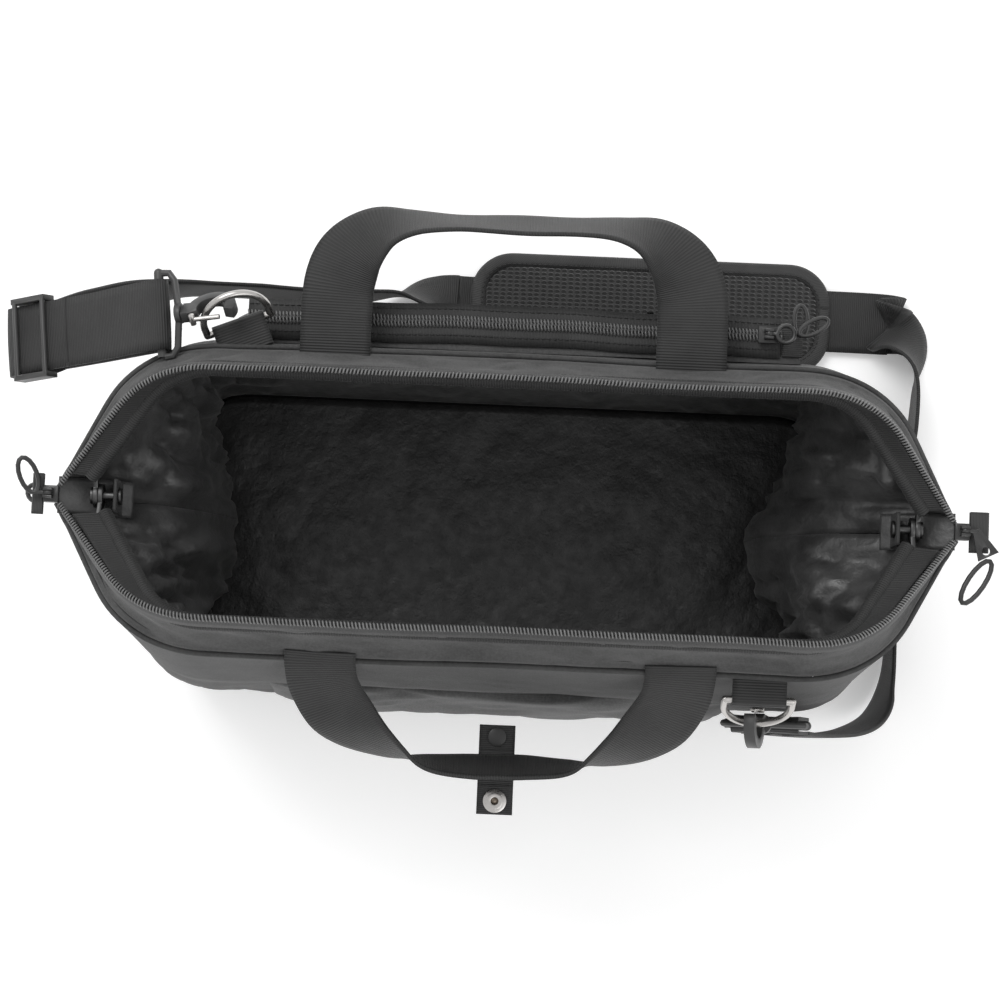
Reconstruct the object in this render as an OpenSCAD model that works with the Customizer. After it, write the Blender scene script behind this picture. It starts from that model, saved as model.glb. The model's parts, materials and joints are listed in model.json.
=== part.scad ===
// Wide-mouth flight bag: a soft fabric body with a two-part steel mouth frame,
// two webbing handles and a clip-on shoulder strap. Millimetres, +Z up, X along
// the bag, +Y to its rear. The origin is the centre of the base on the ground.
// The mouth is open.

/* [Body] */
// Length of the base
base_length = 400; // [380:1:410]
// Width of the base
base_width = 186; // [176:1:190]
// Height of the hinge line of the mouth above the ground
hinge_z = 205; // [195:1:210]
// Thickness of the padded outer fabric
fabric_t = 3; // [2:0.5:3]
// Thickness of the lining
lining_t = 1; // [0.8:0.1:1.2]

/* [Mouth] */
// Distance between the two halves of the zip when the mouth is open
mouth_gap = 130; // [120:1:134]
// Height of the open zip above the hinge line
mouth_rise = 52; // [48:1:56]
// Half the distance between the sharp corners of the mouth
corner_x = 190; // [186:1:194]
// Distance from the middle of the bag to the tip of the zip
tip_x = 245; // [243:1:247]
// Height of the stiff collar under the zip
collar_drop = 38; // [34:1:40]
// How far the collar leans out from the zip to its seam
collar_lean = 16; // [12:1:18]

/* [Frame] */
// Radius of the steel frame rods
rod_r = 3; // [2.5:0.25:3.5]
// Half the distance between the hinge eyes of the rods
eye_x = 218; // [216:0.5:219]
// Radius of the hinge rivets
rivet_r = 2.5; // [2:0.25:2.75]

/* [Webbing] */
// Width of the handle and strap webbing
webbing_w = 38; // [36:1:40]
// Thickness of the handle and strap webbing
webbing_t = 2; // [1.5:0.25:2]
// Half the distance between the two ends of a handle
handle_x = 96; // [90:1:102]
// Reach of a handle from its seam to the middle of its grip
handle_reach = 72; // [68:1:76]

/* [Hardware] */
// Radius of the wire of the D-rings
ring_r = 2; // [1.75:0.25:2]
// Inner width of the D-rings
ring_w = 32; // [30:1:34]
// Width of the webbing tabs that hold the D-rings
ring_tab_w = 29; // [26:1:29]
// Thickness of the moulded snap hooks
hook_t = 6; // [5:0.5:6]

/* [Hidden] */
$fn = 32;

// Gap between parts that only lie against each other.
gap = 0.3;
// Radial clearance of a pin that turns in a hole.
running = 0.05;

// Body walls, as heights from the ground and half sizes at those heights: the middle of
// an end, the corner along X, and the side along Y.
base_t = 3;
wall_top = 198;
side_lift = 14;
levels = [base_t, 14, 60, 110, 160, wall_top];
half_l = base_length / 2;
half_w = base_width / 2;
function end_at(z) = lookup(z, [[0, half_l - 4], [14, half_l], [wall_top, half_l + 25]]);
function corner_at(z) =
    lookup(z, [[0, half_l - 4], [14, half_l], [110, half_l - 2], [wall_top, half_l - 8]]);
function side_at(z) = lookup(z, [[0, half_w - 3], [14, half_w], [60, half_w + 3], [110, half_w + 3],
    [160, half_w], [wall_top, half_w - 6]]);
// Where the outside of a side wall is, once its top has been lifted to the seam.
fold_z = 160;
function wall_y(z) = z < fold_z ? side_at(z)
    : mix(side_at(fold_z), side_at(wall_top), (z - fold_z) / (wall_top + side_lift - fold_z));
base_corner_r = 34;

// The mouth: each half of the zip lies in a plane through the hinge line. u runs along X
// and w away from the hinge line.
half_gap = mouth_gap / 2;
zip_w = norm([half_gap, mouth_rise]);
zip_tilt = atan2(half_gap, mouth_rise);
zip_corner_r = 34;
zip_end_w = 16;
coil_r = 1.7;
tape_w = 9;
// The halves of the zip stand off the closing plane by half a closed chain.
coil_offset = 1.9;

// The rods lie under the zip, in the collar.
rod_drop = 17;
rod_out = 2.5;
rod_w = norm([half_gap + rod_out, mouth_rise - rod_drop]);
rod_tilt = atan2(half_gap + rod_out, mouth_rise - rod_drop);
rod_corner_x = 180;
rod_corner_r = 24;
rod_foot_w = 10;
rod_foot_out = 1.5;
eye_r = 6.5;
eye_t = 2.4;

seam_y = half_gap + collar_lean;
seam_z = hinge_z + mouth_rise - collar_drop;

// Handles: the angle below level at which each one rests on the pocket behind it.
front_handle_droop = 44;
rear_handle_droop = 0;
handle_start = 4;
wrap_w = 20;

// Strap hardware.
strap_bar_r = 2.6;
pad_l = 224;
pad_w = 70;
pad_t = 9;
pad_centre = [84, 146, pad_t / 2 + 0.4];

// The D-rings: each one's bar is at its place, and its arc stands out along the turned +Y.
rear_ring_at = [-149, 95.5, 212];
rear_ring_turn = [57, 0, 22];
front_ring_at = [139, -95.5, 211.5];
front_ring_turn = [-120, 0, 0];

// The snap hooks: each one's swivel is at its place, and the turned +X runs to its eye.
rear_rise = 12;
rear_yaw = 6;
rear_hook_at = [-178.8, 98.7, 223.4];
rear_hook_turn = [-48, -rear_rise, rear_yaw];
rear_loop_turn = [0, -rear_rise, rear_yaw];
rear_way = [cos(rear_rise) * cos(rear_yaw), cos(rear_rise) * sin(rear_yaw), sin(rear_rise)];
front_lean = 72;
front_hook_at = [144.3, -107.5, 174.5];
front_hook_turn = [0, -front_lean, 180];
front_loop_turn = [90, -front_lean, 180];
front_way = [-cos(front_lean), 0, sin(front_lean)];

// ---- Helpers -------------------------------------------------------------

function unit(v) = v / norm(v);
function mix(a, b, t) = a + (b - a) * t;

// A closed surface through a row of rings that each have the same number of points, in
// right-handed order about the way along the row. A looped skin joins its last ring to its
// first; an open one is capped at both ends.
module skin(rings, looped = false) {
    n = len(rings[0]);
    m = len(rings);
    rows = looped ? m : m - 1;
    sides = [for (i = [0:rows - 1], j = [0:n - 1])
        let (a = i * n + j, b = i * n + (j + 1) % n, c = ((i + 1) % m) * n + (j + 1) % n,
             d = ((i + 1) % m) * n + j)
        each [[a, c, b], [a, d, c]]];
    caps = looped ? [] : [[for (j = [0:n - 1]) j], [for (j = [n - 1:-1:0]) (m - 1) * n + j]];
    polyhedron([for (r = rings) each r], concat(sides, caps), convexity = 8);
}

// Webbing along stations of [position, width direction], as a flat strip.
function tangent(s, i) = unit(s[min(i + 1, len(s) - 1)][0] - s[max(i - 1, 0)][0]);
function strip_ring(p, along, across, w, t) =
    let (side = unit(across - along * (across * along)), up = cross(along, side))
    [p - side * w / 2 - up * t / 2, p + side * w / 2 - up * t / 2,
     p + side * w / 2 + up * t / 2, p - side * w / 2 + up * t / 2];
module webbing(stations, w = webbing_w, t = webbing_t) {
    skin([for (i = [0:len(stations) - 1])
        strip_ring(stations[i][0], tangent(stations, i), stations[i][1], w, t)]);
}

// A round cord along a closed or open list of points that lies roughly in one plane.
module loop_cord(points, r, normal, looped = true, sides = 8) {
    m = len(points);
    skin([for (i = [0:m - 1])
        let (before = looped ? points[(i + m - 1) % m] : points[max(i - 1, 0)],
             after = looped ? points[(i + 1) % m] : points[min(i + 1, m - 1)],
             along = unit(after - before), side = unit(cross(normal, along)), up = cross(along, side))
        [for (k = [0:sides - 1]) let (a = k * 360 / sides)
            points[i] + r * (cos(a) * side + sin(a) * up)]], looped);
}

// One quarter of a body outline, from the middle of the end to the middle of the side.
corner_steps = 6;
function bezier(a, b, c, t) = mix(mix(a, b, t), mix(b, c, t), t);
function quarter(end, corner, side, r) =
    let (e = [end, 0], c = [corner, side], m = [0, side])
    concat([e], [for (i = [0:corner_steps])
        bezier(c + unit(e - c) * r, c, c + unit(m - c) * r, i / corner_steps)], [m]);
function reversed(list) = [for (i = [len(list) - 1:-1:0]) list[i]];
function flip(list, sx, sy) = [for (p = list) [p[0] * sx, p[1] * sy]];
function without_last(list) = [for (i = [0:len(list) - 2]) list[i]];
function outline(end, corner, side, r) =
    let (q = quarter(end, corner, side, r))
    concat(without_last(q), without_last(reversed(flip(q, -1, 1))),
        without_last(flip(q, -1, -1)), without_last(reversed(flip(q, 1, -1))));
function body_outline(z, inset) =
    outline(end_at(z) - inset, corner_at(z) - inset, side_at(z) - inset, base_corner_r - inset / 2);

// A wall that follows the body at the given inset, as a ring without a floor.
module wall_ring(heights, inset, t, sag = 0) {
    outer = [for (z = heights) body_outline(z, inset)];
    inner = [for (z = heights) body_outline(z, inset + t)];
    low = heights[0];
    high = heights[len(heights) - 1];
    function sagged(p, z) =
        let (s = sag * sin(180 * (z - low) / (high - low)) * pow(min(abs(p[0]) / half_l, 1), 4),
             lift = z == high ? side_lift * pow(p[1] / half_w, 2) : 0)
        [p[0] * (1 - s / half_l), p[1], z + lift];
    skin([for (k = [0:len(outer[0]) - 1])
        concat([for (i = [0:len(heights) - 1]) sagged(inner[i][k], heights[i])],
            [for (i = [len(heights) - 1:-1:0]) sagged(outer[i][k], heights[i])])], true);
}

// The open line of the zip in its own plane, from one leg over the bar to the other.
function leg_u(w) = tip_x + (corner_x - tip_x) * w / zip_w;
function mouth_half(end_w) =
    let (e = [leg_u(end_w), end_w], c = [corner_x, zip_w], m = [0, zip_w])
    concat([e, mix(e, c, 0.35)], [for (i = [0:corner_steps])
        bezier(c + unit(e - c) * zip_corner_r, c, c + unit(m - c) * zip_corner_r, i / corner_steps)],
        [[corner_x / 3, zip_w]]);
function mouth_path(end_w) =
    let (h = mouth_half(end_w)) concat(h, reversed(flip(h, -1, 1)));
// A point of a tilted plane through the hinge line, on the front of the bag.
function tilted(p, tilt) = [p[0], -p[1] * sin(tilt), hinge_z + p[1] * cos(tilt)];

// A part that is made on the front and repeated on the rear.
module on_rear() { mirror([0, 1, 0]) children(); }
module on_left() { mirror([1, 0, 0]) children(); }

// ---- Body ----------------------------------------------------------------

module base_panel() {
    color("#1c1c1e")
    linear_extrude(base_t) polygon(body_outline(0, 0));
}

module outer_shell() {
    color("#3a3a3c")
    wall_ring(levels, 0, fabric_t);
}

module lining() {
    color("#252528")
    wall_ring([10, 40, 80, 120, 160, wall_top - 2], fabric_t + gap, lining_t, 12);
}

module base_board() {
    board_t = 3;
    color("#2a2a2c")
    translate([0, 0, base_t + gap])
    linear_extrude(board_t) polygon(body_outline(base_t, fabric_t + 4));
}

// A pocket on the outside of a wall: a pillow whose back follows the wall.
module pocket(half_length, low, high, depth, crown) {
    across = 16;
    rows = 8;
    function bulge(i, j) =
        let (a = abs(2 * i / across - 1), b = abs(2 * j / rows - 1))
        depth * (1 - crown * (pow(a, 4) + pow(b, 4)) / 2);
    skin([for (i = [0:across])
        let (x = mix(-half_length, half_length, i / across))
        concat([for (j = [0:rows]) let (z = mix(low, high, j / rows)) [x, -wall_y(z) - gap, z]],
            [for (j = [rows:-1:0]) let (z = mix(low, high, j / rows))
                [x, -wall_y(z) - gap - bulge(i, j), z]])]);
}

module front_pocket() {
    color("#333336")
    pocket(130, 24, 152, 10, 0.75);
}

rear_pocket_x = 158;
rear_pocket_top = 194;
rear_pocket_depth = 25;
module rear_pocket() {
    color("#37373a")
    on_rear() pocket(rear_pocket_x, 44, rear_pocket_top, rear_pocket_depth, 0.3);
}

// The closed zip along the top of the rear pocket: a tape with a rounded chain on it.
pocket_zip_y = wall_y(rear_pocket_top) + 15;
pocket_zip_z = rear_pocket_top + 0.4;
pocket_zip_x = 146;
module rear_pocket_zip() {
    tape_t = 1;
    tape = 20;
    chain_w = 5;
    color("#2c2c2e") {
        translate([-pocket_zip_x, pocket_zip_y - tape / 2, pocket_zip_z])
            cube([2 * pocket_zip_x, tape, tape_t]);
        translate([-pocket_zip_x, pocket_zip_y, pocket_zip_z + tape_t])
            rotate([0, 90, 0]) intersection() {
                cylinder(r = chain_w / 2, h = 2 * pocket_zip_x);
                translate([-chain_w, -chain_w, 0]) cube([chain_w, 2 * chain_w, 2 * pocket_zip_x]);
            }
    }
}

module rear_pocket_end_web() {
    color("#3a3a3d")
    translate([pocket_zip_x + 1, pocket_zip_y - 11, pocket_zip_z])
        cube([11, 20, 2]);
}

// A net pocket on the inside of the front wall, standing a little way off the lining.
module mesh_pocket(from_x, to_x) {
    low = 60;
    high = 168;
    stand = 10;
    t = 1.2;
    steps = 12;
    wall = fabric_t + lining_t + 4 * gap;
    function net(x, z, inset) =
        let (a = abs((x - (from_x + to_x) / 2) / (to_x - from_x) * 2), b = (z - low) / (high - low))
        [x, -side_at(z) + wall + inset + stand * (1 - pow(a, 4)) * (0.25 + 0.75 * b), z];
    color("#161618")
    skin([for (i = [0:steps])
        let (x = mix(from_x, to_x, i / steps))
        concat([for (z = [low:27:high]) net(x, z, t)], [for (z = [high:-27:low]) net(x, z, 0)])]);
}
module left_mesh_pocket() { mesh_pocket(-124, -38); }
module right_mesh_pocket() { mesh_pocket(54, 104); }

// ---- Mouth ---------------------------------------------------------------

// The line of a rod in its own plane, from one foot over the bar to the other.
function rod_line(foot_x) =
    let (e = [foot_x, rod_foot_w], c = [rod_corner_x, rod_w], m = [0, rod_w],
         half = concat([e], [for (i = [0:corner_steps])
            bezier(c + unit(e - c) * rod_corner_r, c, c + unit(m - c) * rod_corner_r, i / corner_steps)]))
    [for (p = concat(half, reversed(flip(half, -1, 1)))) [p[0], p[1], 0]];

// A rod with a flat eye on each foot. A positive offset puts the eyes further out.
module rod(eye_offset, foot_x) {
    eye_at = eye_x + eye_offset;
    foot_half = rod_r - 0.4;
    color("#8d9094") translate([0, 0, hinge_z]) rotate([90 + rod_tilt, 0, 0]) {
        loop_cord(rod_line(foot_x), rod_r, [0, 0, 1], false, 16);
        for (side = [0, 1]) mirror([side, 0, 0]) difference() {
            union() {
                translate([eye_at, 0, 0]) rotate([0, 90, 0]) cylinder(r = eye_r, h = eye_t);
                translate([eye_at, 0, -foot_half]) cube([eye_t, rod_foot_w + foot_half, 2 * foot_half]);
            }
            translate([eye_at - 1, 0, 0]) rotate([0, 90, 0])
                cylinder(r = rivet_r + running, h = eye_t + 2);
        }
    }
}
module front_rod() { rod(0, eye_x - rod_foot_out); }
module rear_rod() { on_rear() rod(eye_t + gap, eye_x + 2 * eye_t + gap + rod_foot_out); }

// The line of the zip on the open mouth, and the way that the collar runs down from it.
function zip_point(p) =
    tilted(p, zip_tilt) + coil_offset * [0, -cos(zip_tilt), -sin(zip_tilt)];
function collar_share(w) = max(0, (w - zip_end_w) / (zip_w - zip_end_w));
function collar_way(path, i) =
    let (a = path[max(i - 1, 0)], b = path[min(i + 1, len(path) - 1)], s = collar_share(path[i][1]),
         across = unit([(b[1] - a[1]) * sin(zip_tilt), a[0] - b[0]]),
         out = across[1] > 0 ? -across : across, lean = mix(3, collar_lean, s))
    [out[0] * lean, out[1] * lean, -mix(13, collar_drop, s)];

// A strip of the collar, from one distance below the zip to another.
module collar_strip(path, from, to, t) {
    skin([for (i = [0:len(path) - 1])
        let (p = zip_point(path[i]), way = collar_way(path, i), length = norm(way),
             top = p + unit(way) * from, low = p + unit(way) * min(to, length),
             along = unit(zip_point(path[min(i + 1, len(path) - 1)]) - zip_point(path[max(i - 1, 0)])),
             thick = unit(cross(along, unit(way))) * t / 2)
        [low - thick, low + thick, top + thick, top - thick]]);
}

module zip_half() {
    path = mouth_path(8);
    color("#5a5a5c") {
        loop_cord([for (p = path) zip_point(p)], coil_r, [0, sin(zip_tilt), cos(zip_tilt)], false);
        collar_strip(path, 0.5, tape_w, 1);
    }
}
module front_zip() { zip_half(); }
module rear_zip() { on_rear() zip_half(); }

module collar() {
    color("#464648") collar_strip(mouth_path(zip_end_w), tape_w + gap, 60, 2.4);
}
module front_collar() { collar(); }
module rear_collar() { on_rear() collar(); }

// A rivet with a head at each end, through both rods' eyes and the webbing patch.
patch_x = eye_x - 8;
patch_t = 2;
module hinge_rivet() {
    head_r = 4.6;
    head_t = 1.4;
    eyes_end = eye_x + 2 * eye_t + 2 * gap;
    color("#b9bcc0") translate([patch_x - head_t - gap, 0, hinge_z]) rotate([0, 90, 0]) {
        cylinder(r = head_r, h = head_t);
        cylinder(r = rivet_r, h = eyes_end - patch_x + 2 * head_t + gap);
        translate([0, 0, eyes_end - patch_x + head_t + gap]) cylinder(r = head_r, h = head_t);
    }
}
module right_hinge_rivet() { hinge_rivet(); }
module left_hinge_rivet() { on_left() hinge_rivet(); }

module hinge_patch() {
    low = 182;
    high = hinge_z + 7;
    half_width = 9;
    color("#303032") difference() {
        translate([patch_x, -half_width, low]) cube([patch_t, 2 * half_width, high - low]);
        translate([patch_x - 1, 0, hinge_z]) rotate([0, 90, 0])
            cylinder(r = rivet_r + running, h = patch_t + 2);
    }
}
module right_hinge_patch() { hinge_patch(); }
module left_hinge_patch() { on_left() hinge_patch(); }

// ---- Zip tips ------------------------------------------------------------

slider_l = 8;
slider_w = 9;
slider_h = 6;
slider_x = tip_x - 2.7;
pin_x = slider_x + 5;
post_r = 1.2;
pin_rise = 3.2;
// Two ears on a slider with a pin across them, for a pull.
module pull_ears(ear_l, ear_h, pin_h) {
    for (side = [-1, 1]) translate([-ear_l / 2, side * 2 - 0.8, 0]) cube([ear_l, 1.6, ear_h]);
    translate([0, -2, pin_h]) rotate([-90, 0, 0]) cylinder(r = post_r, h = 4);
}
module zip_slider() {
    color("#3c3c3e") {
        translate([slider_x, -slider_w / 2, hinge_z - slider_h / 2]) cube([slider_l, slider_w, slider_h]);
        translate([pin_x, 0, hinge_z + slider_h / 2]) pull_ears(5, 5.2, pin_rise);
    }
}
module right_zip_slider() { zip_slider(); }
// The left slider has a second pull below it.
module left_zip_slider() {
    on_left() {
        zip_slider();
        color("#3c3c3e") translate([pin_x, 0, hinge_z - slider_h / 2]) mirror([0, 0, 1])
            pull_ears(5, 5.2, pin_rise);
    }
}

// The fabric that closes the end of the zip, folded over it.
module end_tab(length) {
    color("#2e2e30") translate([slider_x + slider_l + gap, -11, hinge_z - 2])
        cube([length, 22, 4]);
}
module right_end_tab() { end_tab(10); }
module left_end_tab() { on_left() end_tab(6); }

// A cord pull: an eye round the slider's pin, a neck and an oval loop that hangs to one side.
function oval(centre, a, b) = [for (k = [0:15]) centre + [a * cos(k * 22.5), b * sin(k * 22.5), 0]];
module pin_eye(neck) {
    rotate([-90, 0, 0]) difference() {
        cylinder(r = 2.6, h = 1.8, center = true);
        cylinder(r = post_r + running, h = 4, center = true);
    }
    translate([2.2, -0.9, -0.9]) cube([neck, 1.8, 1.8]);
}
module pull(loop_l, swing) {
    pin_eye(5);
    translate([6.8, 0, 0]) rotate([0, 0, swing])
        loop_cord(oval([loop_l / 2, 0, 0], loop_l / 2, 4.6), 1.3, [0, 0, 1]);
}
pull_at = [pin_x, 0, hinge_z + slider_h / 2 + pin_rise];
under_pull_at = [pin_x, 0, hinge_z - slider_h / 2 - pin_rise];
module left_upper_pull() {
    color("#3a3a3c") on_left() translate(pull_at) rotate([0, -6, 0]) pull(20, 66);
}
module left_lower_pull() {
    color("#3a3a3c") on_left() translate(under_pull_at) rotate([0, 38, 0]) pull(13, 14);
}

// The right pull: a metal plate that leans to the front, with a cord loop through its hole.
plate_turn = -64;
plate_l = 15;
plate_start = 6;
plate_tip = [plate_start + plate_l * cos(plate_turn), plate_l * sin(plate_turn), 0];
module right_pull_plate() {
    color("#77797c") translate(pull_at) rotate([0, -4, 0]) {
        pin_eye(4.6);
        translate([plate_start, 0, -0.8]) rotate([0, 0, plate_turn]) linear_extrude(1.6) difference() {
            polygon([[-1, -2], [plate_l, -6], [plate_l, 6], [-1, 2]]);
            translate([plate_l - 3.4, 0]) circle(r = 2.2);
        }
    }
}
module right_pull_loop() {
    color("#303033") translate(pull_at) rotate([0, -4, 0]) translate(plate_tip)
        rotate([0, 0, plate_turn - 58]) loop_cord(oval([15, 2, 0], 13.5, 4.4), 1.4, [0, 0, 1]);
}

// ---- Handles -------------------------------------------------------------

// A handle in its own frame: X along the bag, +Y its reach from the seam, +Z its top face.
// The slant is how far its two arms lean in towards the grip.
function handle_stations(slant) =
    let (half = [[[-handle_x, handle_start, 0], [1, 0, 0]],
                 [[-handle_x + slant * 0.1, 20, 0.5], [1, 0, 0]],
                 [[-handle_x + 1 + slant * 0.45, 38, 1], [1, -0.08, 0]],
                 [[-handle_x + 7 + slant * 0.8, 54, 2], [0.85, -0.45, 0.3]],
                 [[-handle_x + 20 + slant, 66, 3], [0.5, -0.6, 0.62]],
                 [[-handle_x + 38 + slant, 71, 4], [0.15, -0.5, 0.85]],
                 [[-handle_x + 62 + slant, handle_reach, 4], [0, -0.42, 0.9]],
                 [[0, handle_reach, 4], [0, -0.42, 0.9]]])
    concat(half, [for (i = [len(half) - 2:-1:0])
        [[-half[i][0][0], half[i][0][1], half[i][0][2]],
         [half[i][1][0], -half[i][1][1], -half[i][1][2]] * -1]]);
handle_line_y = seam_y + 1.6;
module handle(droop, slant) {
    color("#303033") translate([0, handle_line_y, seam_z]) rotate([-droop, 0, 0])
        webbing(handle_stations(slant));
}
module front_handle() { on_rear() handle(front_handle_droop, 20); }
module rear_handle() { handle(rear_handle_droop, 0); }

// The wrap under the front grip, and its two snap flaps. The grip stands nearly on edge.
grip_y = -(handle_line_y + handle_reach * cos(front_handle_droop) + 4 * sin(front_handle_droop));
grip_z = seam_z - handle_reach * sin(front_handle_droop) + 4 * cos(front_handle_droop);
wrap_t = 1.6;
wrap_z = grip_z - webbing_w / 2 - 1.5;
wrap_half = 10;
cap_flap_l = 13;
socket_flap_l = 16;
module handle_wrap() {
    color("#2b2b2d") {
        translate([-wrap_w / 2, grip_y - wrap_half, wrap_z - wrap_t])
            cube([wrap_w, 2 * wrap_half, wrap_t]);
        translate([-wrap_w / 2, grip_y + 1, wrap_z]) cube([wrap_w, 3, 1.2]);
    }
}
module flap(length) {
    color("#2b2b2d") translate([-wrap_w / 2, wrap_half + gap, -wrap_t]) cube([wrap_w, length, wrap_t]);
}
module wrap_cap_flap() { translate([0, grip_y, wrap_z]) flap(cap_flap_l); }
module wrap_socket_flap() { translate([0, grip_y, wrap_z]) on_rear() flap(socket_flap_l); }
snap_r = 6.5;
module snap_cap() {
    color("#303032") translate([0, grip_y + wrap_half + cap_flap_l / 2 + gap, wrap_z])
        cylinder(r = 5, h = 1.8);
}
module snap_socket() {
    color("#c9c5c0") translate([0, grip_y - wrap_half - socket_flap_l / 2 - 0.8, wrap_z]) difference() {
        union() {
            cylinder(r = snap_r, h = 0.8);
            cylinder(r = 4.6, h = 3.4);
        }
        translate([0, 0, 1.2]) cylinder(r = 2.2, h = 4);
    }
}

// ---- Rings and snap hooks ------------------------------------------------

// A D-ring: its bar lies on X through the origin and its arc stands out along +Y.
ring_half = ring_w / 2 + ring_r;
ring_side = 6;
module d_ring() {
    color("#c2bfba") {
        translate([-ring_half, 0, 0]) rotate([0, 90, 0]) cylinder(r = ring_r, h = 2 * ring_half);
        for (side = [-1, 1]) translate([side * ring_half, 0, 0]) {
            sphere(r = ring_r);
            rotate([-90, 0, 0]) cylinder(r = ring_r, h = ring_side);
        }
        translate([0, ring_side, 0]) rotate_extrude(angle = 180)
            translate([ring_half, 0]) circle(r = ring_r);
    }
}
module rear_ring() { translate(rear_ring_at) rotate(rear_ring_turn) d_ring(); }
module front_ring() { translate(front_ring_at) rotate(front_ring_turn) d_ring(); }

// A webbing tab folded round a ring's bar, with a tail that runs back to the seam.
module ring_tab(tail) {
    outer_r = ring_r + running + 1.6;
    color("#39393b") difference() {
        union() {
            translate([-ring_tab_w / 2, 0, 0]) rotate([0, 90, 0]) cylinder(r = outer_r, h = ring_tab_w);
            translate([-ring_tab_w / 2, -tail, outer_r - 2 * webbing_t])
                cube([ring_tab_w, tail, 2 * webbing_t]);
        }
        translate([-ring_tab_w, 0, 0]) rotate([0, 90, 0])
            cylinder(r = ring_r + running, h = 2 * ring_tab_w);
    }
}
module rear_ring_tab() { translate(rear_ring_at) rotate([0, 0, rear_ring_turn[2]]) ring_tab(10); }
module front_ring_tab() { translate(front_ring_at) rotate([0, 0, 180]) ring_tab(11); }

// A snap hook in its own frame: the swivel is at the origin, +X runs to the eye, the hook
// lies in the XY plane with its back on +Y and its gate on -Y.
eye_at = 17;
hook_in_r = 8;
hook_out_r = 13.5;
pivot_angle = 205;
pivot_at = [eye_at - 9.5, -7.6, 0];
nose_angle = -22;
gate_l = 15;
swivel_r = 2.4;
module hook() {
    color("#4a4b4d") difference() {
        translate([0, 0, -hook_t / 2]) linear_extrude(hook_t) difference() {
            union() {
                translate([eye_at, 0]) circle(r = hook_out_r);
                translate([0.6, -5]) square([10, 10]);
            }
            translate([eye_at, 0]) circle(r = hook_in_r);
            translate([eye_at, 0]) polygon([[0, 0],
                for (a = [pivot_angle, 270, 300, 360 + nose_angle]) 26 * [cos(a), sin(a)]]);
        }
        rotate([0, 90, 0]) cylinder(r = swivel_r + running, h = 7.5);
    }
}
// The gate: a wire arm on a sprung pivot that closes the side of the hook.
module gate() {
    arm_r = 1.3;
    color("#b4b6ba") translate(pivot_at) {
        rotate([0, 0, 2]) rotate([0, 90, 0]) cylinder(r = arm_r, h = gate_l);
        translate([0, 0, -hook_t / 2]) cylinder(r = 1.6, h = hook_t);
    }
}
// The loop that holds the strap: a pin that turns in the hook, two arms and a round bar.
bar_half = webbing_w / 2 + 4;
bar_back = 12;
module hook_loop() {
    arm_t = 4;
    color("#4a4b4d") {
        translate([-3, 0, 0]) rotate([0, 90, 0]) cylinder(r = swivel_r, h = 9);
        translate([-3, 0, 0]) rotate([0, 90, 0]) cylinder(r = 5.5, h = 3);
        translate([-bar_back, bar_half, 0]) rotate([90, 0, 0]) cylinder(r = strap_bar_r, h = 2 * bar_half);
        for (side = [-1, 1]) {
            translate([-bar_back, side * bar_half, 0]) sphere(r = strap_bar_r);
            loop_cord([[-bar_back, side * bar_half, 0], [-bar_back + 6, side * (bar_half - 0.5), 0],
                [-3.2, side * (bar_half - 5), 0], [-2, side * 4, 0]], strap_bar_r - 0.6, [0, 0, 1], false);
        }
    }
}
module rear_hook() { translate(rear_hook_at) rotate(rear_hook_turn) hook(); }
module rear_hook_gate() { translate(rear_hook_at) rotate(rear_hook_turn) gate(); }
module rear_hook_loop() { translate(rear_hook_at) rotate(rear_loop_turn) hook_loop(); }
module front_hook() { translate(front_hook_at) rotate(front_hook_turn) hook(); }
module front_hook_gate() { translate(front_hook_at) rotate(front_hook_turn) gate(); }
module front_hook_loop() { translate(front_hook_at) rotate(front_loop_turn) hook_loop(); }

// ---- Rear pocket zip pull ------------------------------------------------

pocket_slider_x = 139;
pocket_slider_z = pocket_zip_z + 1 + 2.5;
module pocket_slider_at() { translate([pocket_slider_x, pocket_zip_y, pocket_slider_z]) children(); }
module pocket_slider() {
    color("#4b4b4d") pocket_slider_at() {
        translate([-5.5, -4.5, gap]) cube([11, 9, 2.6]);
        translate([0, 0, 2.6]) pull_ears(5, 5.2, pin_rise);
    }
}
module pocket_pull_ring() {
    color("#6d6d70") pocket_slider_at() translate([0, 0, 2.6 + pin_rise]) rotate([0, -8, 0]) {
        rotate([-90, 0, 0]) difference() {
            cylinder(r = 2.4, h = 1.8, center = true);
            cylinder(r = post_r + running, h = 4, center = true);
        }
        translate([2, -0.9, -0.9]) cube([3, 1.8, 1.8]);
        translate([9, 0, 0]) loop_cord(oval([0, 0, 0], 4.8, 4.8), 1.2, [0, 0, 1]);
    }
}
module pocket_pull_loops() {
    color("#303033") pocket_slider_at() translate([0, 0, 2.6 + pin_rise]) rotate([0, -8, 0])
        translate([17, 0, 0])
            for (turn = [28, 92]) rotate([0, 0, turn])
                loop_cord(oval([8, 0, turn == 28 ? 2.7 : -2.7], 8.5, 3.6), 1.2, [0, 0, 1]);
}

// ---- Shoulder strap ------------------------------------------------------

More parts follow.
